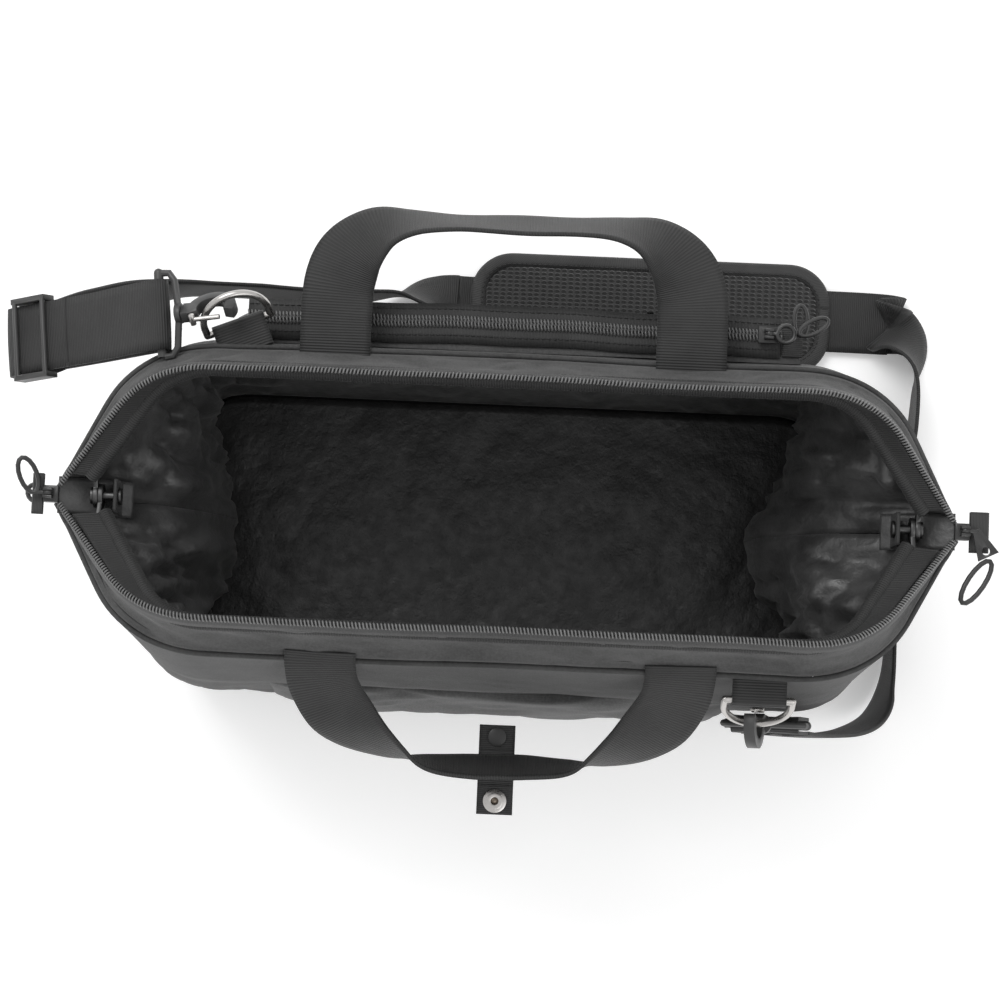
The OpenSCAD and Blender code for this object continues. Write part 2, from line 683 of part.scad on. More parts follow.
// The webbing is sewn below the adjuster, turns round the rear hook's bar, comes back
// through the adjuster, and runs behind the bag, through the pad and round the end to the
// front hook. The two ends that turn round the hooks' bars move with the hooks.
bar_offset = strap_bar_r + gap + webbing_t / 2;
rear_bar = rear_hook_at - bar_back * rear_way;
glide_x = -267;
glide_at = [glide_x, rear_bar[1] - (rear_bar[0] - glide_x) * tan(rear_yaw), 172];
run_way = unit(rear_bar - glide_at);
run_side = unit([-run_way[1], run_way[0], 0]);
run_up = cross(run_way, run_side);
run_length = norm(rear_bar - glide_at);
function on_run(along, up) = glide_at + along * run_way + up * run_up;
under_layer = -5.2;
over_layer = 0.3;
front_bar = front_hook_at - bar_back * front_way;
front_down = -front_way;
front_side = unit(cross(front_down, [0, 1, 0]));
front_out = cross(front_side, front_down);
function off_bar(along, out) = front_bar + along * front_down + out * front_out;
rear_end_tail = 22;
rear_end = concat(
    [[on_run(run_length - rear_end_tail, -bar_offset), run_side],
     [on_run(run_length - 6, -bar_offset), run_side]],
    [for (a = [-90:30:90]) [rear_bar + bar_offset * (cos(a) * run_way + sin(a) * run_up), run_side]],
    [[on_run(run_length - 6, bar_offset), run_side],
     [on_run(run_length - rear_end_tail, bar_offset), run_side]]);
front_end_tail = 22;
front_end = concat(
    [[off_bar(front_end_tail, bar_offset), front_side], [off_bar(6, bar_offset), front_side]],
    [for (a = [90:-30:-90]) [front_bar + bar_offset * (sin(a) * front_out - cos(a) * front_down),
        front_side]],
    [[off_bar(6, -bar_offset), front_side], [off_bar(front_end_tail, -bar_offset), front_side]]);
rear_route = concat(
    [for (a = [50, 26, 0, -14]) [on_run(a, over_layer), run_side]],
    [for (a = [30:40:150]) [on_run(-15 - 6 * sin(a), over_layer - 7 + 7 * cos(a)), run_side]],
    [[on_run(-8, -14), run_side],
     [[-252, 97, 153], [-0.2, 0.9, 0.3]],
     [[-238, 108, 141], [-0.1, 0.6, 0.75]],
     [[-218, 122, 125], [0, 0.2, 0.95]],
     [[-192, 132, 104], [0, 0, 1]],
     [[-160, 137, 81], [0, 0, 1]],
     [[-127, 140, 58], [0, 0, 1]],
     [[-96, 144, 37], [0, 0, 1]],
     [[-76, 147, 25], [0, -0.1, 1]],
     [[-60, 148, 19], [0, -0.4, 0.9]],
     [[-47, 148, 12], [0, -0.8, 0.6]],
     [[-37, 147, 7], [0, -1, 0.15]],
     [[-29, pad_centre[1], pad_centre[2]], [0, -1, 0]],
     [pad_centre - [0.4, 0, 0], [0, -1, 0]]]);
front_route =
    [[pad_centre + [0.4, 0, 0], [0, -1, 0]],
     [[222, pad_centre[1], pad_centre[2]], [0, -1, 0]],
     [[233, pad_centre[1] - 4, 9], [-0.3, -0.9, 0.35]],
     [[243, pad_centre[1] - 15, 15], [-0.5, -0.5, 0.75]],
     [[248, 110, 19.5], [-0.1, -0.1, 1]],
     [[247, 80, 20], [0, 0, 1]],
     [[242, 50, 20], [0, 0, 1]],
     [[238, 10, 20], [0, 0, 1]],
     [[237, -40, 20], [0, 0, 1]],
     [[236, -72, 21], [0.05, 0, 1]],
     [[230, -92, 25], [0.25, 0.1, 0.95]],
     [[217, -104, 38], [0.55, 0.1, 0.8]],
     [[200, -110, 62], [0.75, 0.05, 0.6]],
     [[181, -112, 92], [0.88, 0, 0.45]],
     [off_bar(front_end_tail + 12, -bar_offset), front_side],
     [off_bar(front_end_tail + 2, -bar_offset), front_side]];
// The sewn end of the webbing lies under the doubled run.
under_lap = [for (a = [4, 26, 50]) [on_run(a, under_layer), run_side]];
module rear_strap_end() { color("#2f2f31") webbing(rear_end); }
module front_strap_end() { color("#2f2f31") webbing(front_end); }
module rear_strap_run() {
    color("#2f2f31") {
        webbing(rear_route);
        webbing(under_lap);
    }
}
module front_strap_run() { color("#2f2f31") webbing(front_route); }

// The adjuster on the doubled run: two rails and three bars, with the webbing between.
module strap_slider() {
    rail_in = webbing_w / 2 + 1;
    rail_w = 3;
    length = 24;
    tall = 9;
    bars = [[-length / 2 + 1.8, 3.3], [0, -2.5], [length / 2 - 1.8, 3.3]];
    yaw = atan2(run_way[1], run_way[0]);
    pitch = asin(run_way[2]);
    color("#48494b") translate(glide_at) rotate([0, -pitch, yaw]) {
        for (side = [-1, 1])
            translate([-length / 2, side * (rail_in + rail_w / 2) - rail_w / 2, -tall / 2])
                cube([length, rail_w, tall]);
        for (bar = bars) translate([bar[0], rail_in + 1, bar[1]]) rotate([90, 0, 0])
            cylinder(r = 1.5, h = 2 * rail_in + 2);
    }
}

// The pad: a flat sleeve with round ends, and the binding round its rim.
module pad_outline(inset) {
    r = 26 - inset;
    for (sx = [-1, 1], sy = [-1, 1])
        translate([sx * (pad_l / 2 - 26), sy * (pad_w / 2 - 26)]) circle(r = r);
    square([pad_l - 52, pad_w - 2 * inset], center = true);
    square([pad_l - 2 * inset, pad_w - 52], center = true);
}
binding_w = 9;
module shoulder_pad() {
    slot_t = webbing_t + 1.4;
    color("#262628") translate(pad_centre) difference() {
        translate([0, 0, -pad_t / 2]) linear_extrude(pad_t) pad_outline(binding_w + gap);
        cube([2 * pad_l, webbing_w + 3, slot_t], center = true);
    }
}
module pad_binding() {
    slot_t = webbing_t + 1.4;
    rim_t = pad_t - 2;
    color("#333335") translate(pad_centre) difference() {
        translate([0, 0, -rim_t / 2]) linear_extrude(rim_t) difference() {
            pad_outline(0);
            pad_outline(binding_w);
        }
        cube([2 * pad_l, webbing_w + 3, slot_t], center = true);
    }
}

base_panel();
outer_shell();
lining();
base_board();
front_pocket();
rear_pocket();
rear_pocket_zip();
rear_pocket_end_web();
left_mesh_pocket();
right_mesh_pocket();
left_hinge_rivet();
right_hinge_rivet();
left_hinge_patch();
right_hinge_patch();
left_end_tab();
right_end_tab();
left_zip_slider();
right_zip_slider();
front_rod();
front_collar();
front_zip();
rear_rod();
rear_collar();
rear_zip();
front_handle();
handle_wrap();
wrap_cap_flap();
snap_cap();
wrap_socket_flap();
snap_socket();
rear_handle();
left_upper_pull();
left_lower_pull();
right_pull_plate();
right_pull_loop();
pocket_slider();
pocket_pull_ring();
pocket_pull_loops();
rear_ring_tab();
rear_ring();
rear_hook();
rear_hook_gate();
rear_hook_loop();
front_ring_tab();
front_ring();
front_hook();
front_hook_gate();
front_hook_loop();
rear_strap_end();
rear_strap_run();
front_strap_run();
front_strap_end();
strap_slider();
shoulder_pad();
pad_binding();
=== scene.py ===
"""A wide-mouth flight bag with its mouth folded open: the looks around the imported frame.

The helpers and the shapes work in millimetres, in the frame's axes, and meshes are made in metres.
"""

import json
import math

import bpy
import numpy as np
from mathutils import Matrix, Vector, noise


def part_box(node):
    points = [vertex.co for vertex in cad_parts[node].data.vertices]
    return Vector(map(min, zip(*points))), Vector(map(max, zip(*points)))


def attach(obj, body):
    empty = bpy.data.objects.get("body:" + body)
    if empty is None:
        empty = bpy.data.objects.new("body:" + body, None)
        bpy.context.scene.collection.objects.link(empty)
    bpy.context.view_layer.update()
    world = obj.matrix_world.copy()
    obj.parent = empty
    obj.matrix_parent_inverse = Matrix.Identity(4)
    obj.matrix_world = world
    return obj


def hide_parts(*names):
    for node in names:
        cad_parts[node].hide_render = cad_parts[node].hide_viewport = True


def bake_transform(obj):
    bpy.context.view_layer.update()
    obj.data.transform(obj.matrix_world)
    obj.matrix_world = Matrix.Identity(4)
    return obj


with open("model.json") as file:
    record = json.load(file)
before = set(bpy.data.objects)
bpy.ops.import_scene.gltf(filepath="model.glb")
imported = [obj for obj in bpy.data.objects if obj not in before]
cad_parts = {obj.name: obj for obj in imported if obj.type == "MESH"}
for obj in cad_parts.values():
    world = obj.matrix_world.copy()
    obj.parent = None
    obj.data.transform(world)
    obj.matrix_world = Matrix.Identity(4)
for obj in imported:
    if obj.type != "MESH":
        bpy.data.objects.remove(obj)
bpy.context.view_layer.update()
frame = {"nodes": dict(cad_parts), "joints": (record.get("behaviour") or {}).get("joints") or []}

# ---- The frame's own sizes -------------------------------------------------

MM = 0.001


def node_span(node):
    """Lowest and highest corner of a CAD node, in millimetres."""
    low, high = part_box(node)
    return np.array(low) / MM, np.array(high) / MM


def joint_place(name):
    """Where a joint turns, in millimetres."""
    joint = next(j for j in frame["joints"] if j["name"] == name)
    return np.array(joint["pos_m"]) / MM


pad_low, pad_high = node_span("pad_binding")
hinge_z = joint_place("front_mouth_fold")[2]

# The mouth, as in the CAD source.
MOUTH_GAP = 130
MOUTH_RISE = 52
CORNER_X = 190
TIP_X = 245
COLLAR_DROP = 38
COLLAR_LEAN = 16
MOUTH_CORNER = 34
# At the tips the collar is shorter and stands straighter, up to this height in the mouth's plane.
TIP_DROP = 13
TIP_LEAN = 3
TIP_END_W = 16
ZIP_STAND_OFF = 1.9
# How far the cloth goes out and up while it bends from the walls to the mouth.
half_gap = MOUTH_GAP / 2
zip_w = math.hypot(half_gap, MOUTH_RISE)
zip_tilt = math.atan2(half_gap, MOUTH_RISE)
seam_y = half_gap + COLLAR_LEAN
seam_z = hinge_z + MOUTH_RISE - COLLAR_DROP

WEBBING_W = 38
WEBBING_T = 2
HANDLE_X = 96
HANDLE_REACH = 72
FRONT_DROOP = 44

ALONG_X, ALONG_Y = (1, 0, 0), (0, 1, 0)
FRONT, REAR = -1, 1
SIDES = {"front": FRONT, "rear": REAR}

# ---- Small geometry helpers ------------------------------------------------


def unit(v):
    v = np.asarray(v, float)
    return v / np.linalg.norm(v, axis=-1, keepdims=True)


def mix(a, b, t):
    return np.asarray(a, float) * (1 - t) + np.asarray(b, float) * t


def lookup(x, table):
    return float(np.interp(x, [row[0] for row in table], [row[1] for row in table]))


def resampled(points, count, measured=None):
    """The same line with evenly spaced points. Only the measured columns count as distance."""
    points = np.asarray(points, float)
    steps = np.linalg.norm(np.diff(points[:, :measured], axis=0), axis=1)
    along = np.concatenate([[0], np.cumsum(steps)])
    wanted = np.linspace(0, along[-1], count)
    return np.stack([np.interp(wanted, along, points[:, k]) for k in range(points.shape[1])], 1)


def smoothed(points, per_span):
    """A Catmull-Rom line through the points."""
    p = np.asarray(points, float)
    n = len(p)
    made = []
    for i in range(n - 1):
        a, b, c, d = p[max(i - 1, 0)], p[i], p[i + 1], p[min(i + 2, n - 1)]
        for t in np.arange(per_span) / per_span:
            made.append(0.5 * (2 * b + (c - a) * t + (2 * a - 5 * b + 4 * c - d) * t * t
                               + (3 * b - a - 3 * c + d) * t ** 3))
    made.append(p[-1])
    return np.array(made)


def noise_at(p, size, seed=0):
    """Smooth noise from -1 to 1, with features of the given size in millimetres."""
    return noise.noise(Vector(p) / size + Vector((seed * 7.3, seed * 3.1, seed * 5.7)))


def noise_over(rows, depth, size, seed):
    """Noise at each point of a grid, from minus to plus the depth."""
    return np.array([[depth * noise_at(p, size, seed) for p in row] for row in rows])


def grid_normals(rows):
    along = np.gradient(rows, axis=1)
    across = np.gradient(rows, axis=0)
    normals = np.cross(along, across)
    return normals / np.maximum(np.linalg.norm(normals, axis=2, keepdims=True), 1e-9)


def creased(rows, depth, size, seed=0, stretch=(1.0, 1.0, 1.0), mask=None):
    """Soft folds over a grid: sharp valleys between round hills."""
    normals = grid_normals(rows)
    made = rows.copy()
    scale = np.array(stretch, float)
    for i in range(rows.shape[0]):
        for j in range(rows.shape[1]):
            p = rows[i, j] * scale
            warp = 0.6 * size * noise_at(p, size * 2.2, seed + 5)
            q = p + np.array([warp, -warp, warp])
            fold = abs(noise_at(q, size, seed)) + 0.45 * abs(noise_at(q, size * 0.45, seed + 1))
            share = 1.0 if mask is None else mask[i, j]
            made[i, j] += normals[i, j] * depth * share * (fold - 0.35)
    return made


# ---- Mesh helpers ----------------------------------------------------------


def added(name, data):
    made = bpy.data.objects.new(name, data)
    bpy.context.scene.collection.objects.link(made)
    return made


def mesh_object(name, points, faces, material, uvs=None):
    """A smooth mesh from points in millimetres, with a UV of its own for each point."""
    mesh = bpy.data.meshes.new(name)
    mesh.from_pydata((np.asarray(points, float) * MM).tolist(), [], faces)
    mesh.polygons.foreach_set("use_smooth", [True] * len(mesh.polygons))
    if uvs is not None:
        layer = mesh.uv_layers.new(name="UVMap")
        corner_points = np.zeros(len(mesh.loops), int)
        mesh.loops.foreach_get("vertex_index", corner_points)
        layer.data.foreach_set("uv", (np.asarray(uvs, float) * MM)[corner_points].ravel())
    mesh.materials.append(material)
    return added(name, mesh)


def grid_faces(count_rows, count_columns, closed=False):
    faces = []
    last = count_columns if closed else count_columns - 1
    for i in range(count_rows - 1):
        for j in range(last):
            a = i * count_columns + j
            b = i * count_columns + (j + 1) % count_columns
            faces.append((a, b, b + count_columns, a + count_columns))
    return faces


def grid_uvs(rows):
    """UVs in millimetres: u along the rows and v across them."""
    u = np.concatenate([np.zeros((rows.shape[0], 1)),
                        np.cumsum(np.linalg.norm(np.diff(rows, axis=1), axis=2), axis=1)], axis=1)
    v = np.concatenate([np.zeros((1, rows.shape[1])),
                        np.cumsum(np.linalg.norm(np.diff(rows, axis=0), axis=2), axis=0)], axis=0)
    u_mean = np.repeat(u.mean(axis=0)[None, :], rows.shape[0], axis=0)
    v_mean = np.repeat(v.mean(axis=1)[:, None], rows.shape[1], axis=1)
    return np.stack([u_mean, v_mean], axis=2).reshape(-1, 2)


def cloth(name, rows, material, thickness=0.0, closed=False, offset=0.0, flat=False):
    """A grid of points as a piece of cloth. A flat one's weave follows X and Y."""
    rows = np.asarray(rows, float)
    uvs = rows[:, :, :2].reshape(-1, 2) if flat else grid_uvs(rows)
    made = mesh_object(name, rows.reshape(-1, 3), grid_faces(rows.shape[0], rows.shape[1], closed),
                       material, uvs)
    if thickness:
        solid = made.modifiers.new("thickness", "SOLIDIFY")
        solid.thickness = thickness * MM
        solid.offset = offset
        solid.use_rim = True
    return made


def ribbon_rows(stations, width=WEBBING_W, per_span=8, across=8, cup=0.0):
    """A strip along stations of (position, width direction), as rows across its width.
    Its edges stand above its middle by the cup."""
    line = smoothed([s[0] for s in stations], per_span)
    sides = unit(smoothed([unit(s[1]) for s in stations], per_span))
    along = unit(np.gradient(line, axis=0))
    sides = unit(sides - along * np.sum(sides * along, axis=1, keepdims=True))
    ups = np.cross(along, sides)
    shares = np.linspace(-1, 1, across + 1)
    return np.array([line + sides * width / 2 * s + ups * (cup * (s * s - 1)) for s in shares])


def level(places, width):
    """Stations of a strip whose width always points the same way."""
    return [(place, width) for place in places]


def ribbon(name, stations, material, thickness=WEBBING_T, **shape):
    return cloth(name, ribbon_rows(stations, **shape), material, thickness)


def sweep_data(line, radius, sides=10, closed=False, normal=(0, 0, 1)):
    """Points and faces of a tube along a line. The radius is one number or one for each point."""
    line = np.asarray(line, float)
    n = len(line)
    radii = np.broadcast_to(np.asarray(radius, float), (n,))
    if closed:
        along = unit(np.roll(line, -1, axis=0) - np.roll(line, 1, axis=0))
    else:
        along = unit(np.gradient(line, axis=0))
    first = unit(np.cross(np.asarray(normal, float) + np.array([1e-4, 2e-4, 3e-4]), along))
    second = np.cross(along, first)
    angles = np.linspace(0, 2 * math.pi, sides, endpoint=False)
    rings = (line[:, None, :] + radii[:, None, None]
             * (np.cos(angles)[None, :, None] * first[:, None, :]
                + np.sin(angles)[None, :, None] * second[:, None, :]))
    faces = []
    for i in range(n if closed else n - 1):
        for k in range(sides):
            a, b = i * sides + k, i * sides + (k + 1) % sides
            c, d = ((i + 1) % n) * sides + (k + 1) % sides, ((i + 1) % n) * sides + k
            faces.append((a, b, c, d))
    if not closed:
        faces.append(tuple(reversed(range(sides))))
        faces.append(tuple((n - 1) * sides + k for k in range(sides)))
    return rings.reshape(-1, 3), faces


def joined(name, parts, material):
    """Several (points, faces) as one mesh."""
    points, faces, start = [], [], 0
    for part_points, part_faces in parts:
        points.append(part_points)
        faces.extend(tuple(start + k for k in face) for face in part_faces)
        start += len(part_points)
    return mesh_object(name, np.concatenate(points), faces, material)


def tube(name, line, radius, material, **shape):
    return joined(name, [sweep_data(line, radius, **shape)], material)


def stitching(name, line, ups, material, pitch=3.2, share=0.68, radius=0.28):
    """A row of sewn stitches along a line, each one a short thread that dips at its ends."""
    line, ups = np.asarray(line, float), unit(ups)
    length = np.sum(np.linalg.norm(np.diff(line, axis=0), axis=1))
    count = max(int(length / pitch), 2)
    fine = resampled(np.concatenate([line, ups], axis=1), count * 4 + 1)
    parts = []
    for k in range(count):
        a, b = fine[4 * k], fine[4 * k + 4]
        stretch = [mix(a, b, 0.5 + (t - 0.5) * share) for t in (0, 0.25, 0.5, 0.75, 1)]
        rise = (-0.25, 0.12, 0.22, 0.12, -0.25)
        thread = [p[:3] + p[3:] * r for p, r in zip(stretch, rise)]
        parts.append(sweep_data(thread, radius, sides=5, normal=ups[0]))
    return joined(name, parts, material)


def rounded(obj, width=0.35, segments=2):
    """Softens the edges of a carried-over CAD node."""
    weld = obj.modifiers.new("weld", "WELD")
    weld.merge_threshold = 0.00001
    bevel = obj.modifiers.new("bevel", "BEVEL")
    bevel.width = width * MM
    bevel.segments = segments
    bevel.limit_method = "ANGLE"
    bevel.angle_limit = math.radians(40)
    bevel.harden_normals = True
    obj.data.polygons.foreach_set("use_smooth", [True] * len(obj.data.polygons))
    return obj


# ---- Materials -------------------------------------------------------------


def srgb(value):
    """A screen grey from 0 to 255 as a linear number."""
    v = value / 255
    return v / 12.92 if v <= 0.04045 else ((v + 0.055) / 1.055) ** 2.4


class Shader:
    """A material with its node tree, and short ways to add nodes."""

    def __init__(self, name):
        self.material = bpy.data.materials.new(name)
        self.material.use_nodes = True
        self.tree = self.material.node_tree
        self.surface = self.tree.nodes["Principled BSDF"]

    def add(self, kind, inputs=None, **settings):
        node = self.tree.nodes.new(kind)
        for key, value in settings.items():
            setattr(node, key, value)
        for key, value in (inputs or {}).items():
            if isinstance(value, bpy.types.NodeSocket):
                self.tree.links.new(value, node.inputs[key])
            else:
                node.inputs[key].default_value = value
        return node

    def coordinates(self, kind, stretch=(1, 1, 1), turn=(0, 0, 0)):
        source = self.add("ShaderNodeTexCoord").outputs[kind]
        inputs = {"Vector": source, "Scale": stretch, "Rotation": turn}
        return self.add("ShaderNodeMapping", inputs).outputs[0]

    def noise(self, vector, size, detail=3.0, roughness=0.55):
        """Noise with features of the given size in millimetres."""
        return self.add("ShaderNodeTexNoise", {"Vector": vector, "Scale": 1 / (size * MM),
                                               "Detail": detail, "Roughness": roughness}).outputs[0]

    def bands(self, vector, pitch, direction):
        """Even bands from 0 to 1 with the given pitch in millimetres."""
        return self.add("ShaderNodeTexWave", {"Vector": vector, "Scale": math.pi / 10 / (pitch * MM)},
                        wave_type="BANDS", bands_direction=direction).outputs[1]

    def math(self, operation, a, b=0.0):
        return self.add("ShaderNodeMath", {0: a, 1: b}, operation=operation).outputs[0]

    def ramp(self, value, low, high, start=0.0, end=1.0):
        """From one grey to another as a value goes from start to end."""
        return self.add("ShaderNodeMapRange", {0: value, 1: start, 2: end, 3: low, 4: high}).outputs[0]

    def tint(self, value, dark, light):
        node = self.add("ShaderNodeMix", {"Factor": value}, data_type="RGBA")
        node.inputs["A"].default_value = (*dark, 1)
        node.inputs["B"].default_value = (*light, 1)
        return node.outputs["Result"]

    def bump(self, height, distance, strength=1.0, under=None):
        inputs = {"Height": height, "Distance": distance * MM, "Strength": strength}
        if under is not None:
            inputs["Normal"] = under
        return self.add("ShaderNodeBump", inputs).outputs[0]

    def finish(self, colour, roughness, normal=None, **surface):
        for key, value in {"Base Color": colour, "Roughness": roughness}.items():
            if isinstance(value, bpy.types.NodeSocket):
                self.tree.links.new(value, self.surface.inputs[key])
            else:
                self.surface.inputs[key].default_value = value
        if normal is not None:
            self.tree.links.new(normal, self.surface.inputs["Normal"])
        for key, value in surface.items():
            self.surface.inputs[key].default_value = value
        return self.material


def grey(value, warm=0.0):
    v = srgb(value)
    return (v * (1 + warm), v, v * (1 - warm))


def woven_material(name, shade, pitch, roughness=0.8, sheen=0.3, bump=0.12, spread=0.25):
    """Plain woven nylon: crossed threads with painted shade in the gaps between them, faint blotches and
    fine grain.
    """
    s = Shader(name)
    uv = s.coordinates("UV")
    threads = s.math("MAXIMUM", s.bands(uv, pitch, "X"), s.bands(uv, pitch, "Y"))
    place = s.coordinates("Object")
    blotch = s.noise(place, 34, 4)
    grain = s.noise(place, 1.6, 3)
    tone_and_painted_shade = s.math("ADD", s.math("MULTIPLY", blotch, 0.55), s.math("MULTIPLY", grain, 0.45))
    # The thread ramp paints the gaps between the threads darker: painted shade.
    tone_and_painted_shade = s.math("MULTIPLY", tone_and_painted_shade, s.ramp(threads, 0.72, 1.08))
    colour = s.tint(s.ramp(tone_and_painted_shade, 0, 1, 0.28, 0.62), grey(shade * (1 - spread)), grey(shade * (1 + spread)))
    normal = s.bump(threads, bump, 0.5)
    normal = s.bump(s.noise(place, 5, 4), 0.25, 0.5, normal)
    return s.finish(colour, roughness, normal, **{"Sheen Weight": sheen, "Sheen Roughness": 0.45,
                                                  "Specular IOR Level": 0.35})


def webbing_material(name, shade, rib=1.5, roughness=0.62, depth=0.3):
    """Ribbed webbing: ribs across the strip, fine threads along it, painted shade in the rib valleys with
    lighter rib tops, and random wear.
    """
    s = Shader(name)
    uv = s.coordinates("UV")
    ribs = s.bands(uv, rib, "X")
    threads = s.bands(uv, 0.7, "Y")
    place = s.coordinates("Object")
    wear = s.noise(place, 22, 4)
    height = s.math("ADD", ribs, s.math("MULTIPLY", threads, 0.25))
    # Rib valleys are painted darker and rib tops lighter as painted shade, times random wear.
    tone_and_painted_shade = s.math("MULTIPLY", s.ramp(ribs, 0.25, 1.0), s.ramp(wear, 0.65, 1.25, 0.35, 0.65))
    colour = s.tint(tone_and_painted_shade, grey(shade * 0.55), grey(shade * 1.3))
    normal = s.bump(height, depth, 0.8)
    normal = s.bump(s.noise(place, 14, 2), 0.5, 0.4, normal)
    return s.finish(colour, roughness, normal, **{"Sheen Weight": 0.08, "Sheen Roughness": 0.4,
                                                  "Specular IOR Level": 0.45})


def lining_material(name, dark, light):
    """Thin coated nylon: shiny, with fine crumples, painted darker in their valleys and lighter on their
    tops as painted shade and painted highlights.
    """
    s = Shader(name)
    place = s.coordinates("Object")
    crumple = s.noise(place, 26, 5, 0.62)
    fine = s.noise(s.coordinates("Object", (1, 1, 0.45), (0.3, 0.5, 0.2)), 7, 3)
    grain = s.noise(place, 0.9, 2)
    # The colour follows the crumple height: painted shade in the valleys, painted highlights on the tops.
    colour = s.tint(s.ramp(crumple, 0, 1, 0.35, 0.65), grey(dark), grey(light))
    rough = s.ramp(fine, 0.38, 0.54, 0.3, 0.7)
    normal = s.bump(crumple, 3.2, 0.55)
    normal = s.bump(fine, 0.7, 0.5, normal)
    normal = s.bump(grain, 0.05, 0.4, normal)
    return s.finish(colour, rough, normal, **{"Specular IOR Level": 0.6, "Sheen Weight": 0.1})


def moulded_material(name, shade, roughness=0.42, speck=0.08):
    """Moulded plastic or enamel with a fine grain and rubbed patches."""
    s = Shader(name)
    place = s.coordinates("Object")
    patch = s.noise(place, 9, 4)
    grain = s.noise(place, 0.6, 2)
    colour = s.tint(patch, grey(shade * 0.85), grey(shade * 1.15))
    rough = s.ramp(patch, roughness - speck, roughness + speck, 0.3, 0.7)
    return s.finish(colour, rough, s.bump(grain, 0.04, 0.4), **{"Specular IOR Level": 0.5})


def metal_material(name, shade, roughness=0.26, warm=0.03):
    """Plated metal with faint scratches and dull patches."""
    s = Shader(name)
    place = s.coordinates("Object")
    patch = s.noise(place, 6, 5)
    scratch = s.noise(s.coordinates("Object", (1, 14, 1), (0.4, 0.2, 0.9)), 2.5, 3)
    colour = s.tint(patch, grey(shade * 0.86, warm), grey(shade * 1.06, warm))
    rough = s.ramp(patch, roughness - 0.08, roughness + 0.14, 0.3, 0.7)
    return s.finish(colour, rough, s.bump(scratch, 0.03, 0.35), Metallic=1.0)


def net_material():
    """A fine black net: a lattice of holes that shows the lining behind it."""
    s = Shader("pocket_net")
    uv = s.coordinates("UV", turn=(0, 0, math.radians(45)))
    lattice = s.math("MAXIMUM", s.bands(uv, 1.9, "X"), s.bands(uv, 1.9, "Y"))
    thread = s.ramp(lattice, 0, 1, 0.62, 0.8)
    s.tree.links.new(thread, s.surface.inputs["Alpha"])
    return s.finish((*grey(20), 1), 0.6, s.bump(lattice, 0.3, 0.6), **{"Sheen Weight": 0.2})


def air_mesh_material():
    """Spacer mesh: rows of oval holes, painted dark inside as painted shade."""
    s = Shader("pad_air_mesh")
    uv = s.coordinates("UV", (1, 1.6, 1))
    cells = s.add("ShaderNodeTexVoronoi", {"Vector": uv, "Scale": 1 / (4.2 * MM), "Randomness": 0.12},
                  feature="F1").outputs[0]
    hole = s.ramp(cells, 0, 1, 0.3, 0.46)
    fuzz = s.noise(s.coordinates("Object"), 1.1, 3)
    # The holes are painted dark: painted shade in their depth.
    colour = s.tint(s.math("MULTIPLY", hole, s.ramp(fuzz, 0.6, 1.2)), grey(14), grey(50))
    return s.finish(colour, 0.85, s.bump(hole, 0.9, 0.9),
                    **{"Sheen Weight": 0.35, "Sheen Roughness": 0.5})


SHELL = woven_material("shell_nylon", 56, 0.8, sheen=0.1)
COLLAR = woven_material("collar_nylon", 63, 0.8, roughness=0.86, sheen=0.15)
POCKET = woven_material("pocket_nylon", 66, 0.8, roughness=0.72, sheen=0.1)
WEBBING = webbing_material("ribbed_webbing", 33)
STRAP = webbing_material("strap_webbing", 34, rib=1.2)
TAPE = webbing_material("woven_tape", 44, rib=0.8, depth=0.12)
GROSGRAIN = webbing_material("grosgrain", 45, rib=1.1, depth=0.2)
# The wall lining is painted lighter than the floor lining: painted sheen, for the gloss that lights up its
# folds at the ends.
LIT_LINING = lining_material("lining_nylon_painted_sheen", 44, 70)
FLOOR_LINING = lining_material("floor_nylon", 25, 39)
SLEEVE = webbing_material("sleeve_webbing", 34, rib=1.4)
NET = net_material()
AIR_MESH = air_mesh_material()
COIL = moulded_material("coil_nylon", 102, 0.38)
THREAD = moulded_material("black_thread", 48, 0.6)
HOOK = moulded_material("hook_nylon", 56, 0.42)
CORD = moulded_material("pull_rubber", 36, 0.45)
ENAMEL = moulded_material("slider_enamel", 42, 0.34)
NICKEL = metal_material("nickel_plate", 190)
# The steel is given a dark grey, so that the rivets and rod ends at the bag's ends stay dark.
STEEL = metal_material("dark_grey_steel", 84, 0.42, 0.0)
COPPER = metal_material("worn_brass", 140, 0.35, 0.18)
DARK_BOARD = woven_material("base_fabric", 40, 1.0)


def dress(node, material, width=0.35):
    """Gives a carried-over CAD node its material and softened edges."""
    made = frame["nodes"][node]
    made.data.materials.clear()
    made.data.materials.append(material)
    return rounded(made, width)


def stands_for(piece, slot_name, *nodes, body=None):
    """One piece in the place of CAD nodes, on a body."""
    if body:
        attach(piece, body)
    if nodes:
        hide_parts(*nodes)
    return piece


# ---- Body and mouth lines --------------------------------------------------

WALL_TOP = 198
SIDE_LIFT = 14
FOLD_Z = 160
HALF_L = 200
HALF_W = 93
BASE_CORNER = 34


def end_at(z):
    return lookup(z, [(0, HALF_L - 4), (14, HALF_L), (WALL_TOP, HALF_L + 25)])


def corner_at(z):
    return lookup(z, [(0, HALF_L - 4), (14, HALF_L), (110, HALF_L - 2), (WALL_TOP, HALF_L - 8)])


def side_at(z):
    return lookup(z, [(0, HALF_W - 3), (14, HALF_W), (60, HALF_W + 3), (110, HALF_W + 3),
                      (160, HALF_W), (WALL_TOP, HALF_W - 6)])


def wall_y(z):
    """Where the outside of a side wall is, once its top has been lifted to the seam."""
    if z < FOLD_Z:
        return side_at(z)
    return float(mix(side_at(FOLD_Z), side_at(WALL_TOP), (z - FOLD_Z) / (WALL_TOP + SIDE_LIFT - FOLD_Z)))


